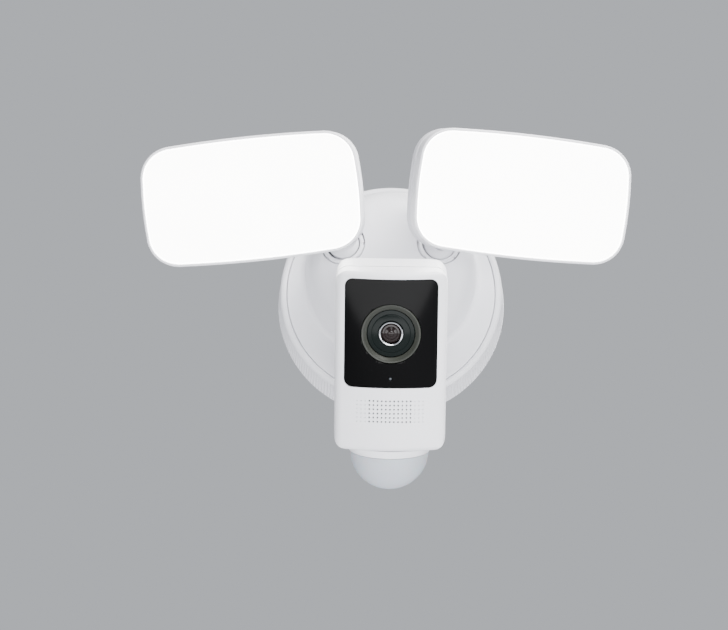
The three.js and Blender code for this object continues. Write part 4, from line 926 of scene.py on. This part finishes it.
def sensor_dome(matrix):
    """The funnel under the body and the half ball that the motion sensor looks through."""
    top, steps = -CAMERA_BOTTOM - GAP, 96
    profile = [(DOME_R - 4, DOME_CENTRE), (DOME_R + 0.2, DOME_CENTRE), (DOME_R + 0.5, DOME_CENTRE + 0.3),
               (DOME_R + 1.6, DOME_CENTRE + 1.4), (DOME_R + 3.0, DOME_CENTRE + 2.6),
               (26.4, top - 0.4), (26.6, top - 0.1), (26.5, top), (DOME_R - 4, top)]
    rings = []
    for r, z in profile:
        squeeze = 1 + (z - DOME_CENTRE) / (top - DOME_CENTRE) * (21.4 / 26.6 - 1)
        rings.append([(r * math.cos(a), CAMERA_D / 2 + r * squeeze * math.sin(a), z)
                      for a in (2 * math.pi * k / steps for k in range(steps))])
    settle(lofted("funnel", rings, "ring"), "camera_head", "pir_collar", matrix)

    rim = DOME_CENTRE - GAP
    skin = arc(DOME_R, 0, 88, 30) + [(DOME_R, 0.3), (DOME_R - 0.2, 0), (DOME_R - 1.5, 0)]
    skin += arc(DOME_R - 1.5, 88, 0, 20)
    dome = turned("milky_dome", skin, 96, ends="pole")
    lower = Matrix.Translation((0, CAMERA_D / 2 * MM, rim * MM)) @ Matrix.Rotation(math.pi / 2, 4, "X")
    settle(dome, "camera_head", "pir_dome", matrix @ lower)


def camera_back(matrix):
    depth = CAMERA_D + CAMERA_REACH
    stem = ball_and_stem((0, depth, 0), (0, CAMERA_D + 8, 0), STEM_R, 2.2)
    foot = turned("camera_foot",
                  [(0.002, -CAMERA_D + 7), (4.2, -CAMERA_D + 7), (4.5, -CAMERA_D + 6.7), (4.5, -CAMERA_D - GAP),
                   (11.6, -CAMERA_D - GAP), (12, -CAMERA_D - 0.7), (12, -CAMERA_D - 2.9), (11.7, -CAMERA_D - 3.6),
                   (10.9, -CAMERA_D - 4), (8.2, -CAMERA_D - 4.1), (7.0, -CAMERA_D - 4.5), (6.5, -CAMERA_D - 5.6),
                   (6.5, -CAMERA_D - 8.8), (6.2, -CAMERA_D - 9.6), (5.5, -CAMERA_D - 10), (0.002, -CAMERA_D - 10)],
                  72, ends="pole")
    carve(stem, foot, how="UNION")
    settle(stem, "camera_head", "camera_arm", matrix)

    half, top, hinge = DOOR_W / 2, -DOOR_DROP + DOOR_H / 2, -DOOR_DROP - DOOR_H / 2
    y0 = CAMERA_D - 2.2
    leaf = box("door", (-half, y0, hinge), (half, y0 + 2, top))
    soften(leaf, 0.45, 3)
    knuckle = rod("knuckle", 1.2, -half, half, steps=32)
    knuckle.data.transform(Matrix.Translation((0, (y0 + 1) * MM, hinge * MM)) @ Matrix.Rotation(math.pi / 2, 4, "Z"))
    lip = box("lip", (-4, y0 + 1.6, top - 2.4), (4, y0 + 2.8, top - 0.8))
    soften(lip, 0.35, 3)
    carve(leaf, knuckle, lip, how="UNION")
    settle(leaf, "card_door", "card_door", matrix)
    floor = CAMERA_D - 4.5
    button = turned("button", [(0.002, -34.5), (2, -34.5), (2, -floor - 1.0), (1.75, -floor - 1.35),
                               (1.2, -floor - 1.4), (0.8, -floor - 1.25), (0.002, -floor - 1.2)],
                    40, (8, -DOOR_DROP), "pole")
    settle(button, "reset_button", "reset_button", matrix)


# ---------------------------------------------------------------- assembly

camera_matrix = head_matrix((0, 0, 0), *CAMERA_TURN)
camera_place = camera_matrix @ (Vector((0, -(CAMERA_D + CAMERA_REACH), 0)) * MM) + Vector(CAMERA_BALL) * MM
camera_matrix = Matrix.Translation(camera_place) @ camera_matrix
camera_fixed = head_matrix(CAMERA_BALL, 0, CAMERA_TURN[1], 0)
camera_leaning = Matrix.Translation(Vector(CAMERA_BALL) * MM) @ (
    Vector((0, -1, 0)).rotation_difference(camera_place - Vector(CAMERA_BALL) * MM).to_matrix().to_4x4())

joint_pieces("camera", camera_fixed, camera_leaning)
bores = [bore(camera_fixed)]
for side in ("left", "right"):
    face, yaw, pitch, roll, hand = LAMPS[side]
    lamp_pieces(side)
    matrix = head_matrix(face, yaw, pitch, roll)
    ball = Vector((hand * LAMP_BALL[0], LAMP_BALL[1], LAMP_BALL[2])) * MM
    local = matrix.inverted() @ ball
    foot = matrix @ Vector((local.x, LAMP_BACK * MM, local.z + ARM_RISE * MM))
    lean = Vector((0, -1, 0)).rotation_difference(foot - ball).to_matrix().to_4x4()
    fixed = head_matrix(ball / MM, hand * LAMP_SOCKET_TURN[0], LAMP_SOCKET_TURN[1], 0)
    joint_pieces(f"lamp_{side}", fixed, Matrix.Translation(ball) @ lean)
    bores.append(bore(fixed))

base_ring()
base_cover(bores)
plate_and_gasket()
lock_screw()
camera_shells(camera_matrix)
camera_face(camera_matrix)
sensor_dome(camera_matrix)
camera_back(camera_matrix)

# ---------------------------------------------------------------- floor


def studio_floor():
    start_alone()
    bpy.ops.mesh.primitive_plane_add(size=14, location=(0, 0, -0.75))
    floor = bpy.context.object
    floor.name = floor.data.name = "studio_floor"
    bpy.ops.object.transform_apply(location=True)
    floor.data.materials.append(grained("matt_studio_paint", "#DCDDE0", "#D7D8DC", 0.85, 0.05, 4.0, 0.1, IOR=1.45))


studio_floor()
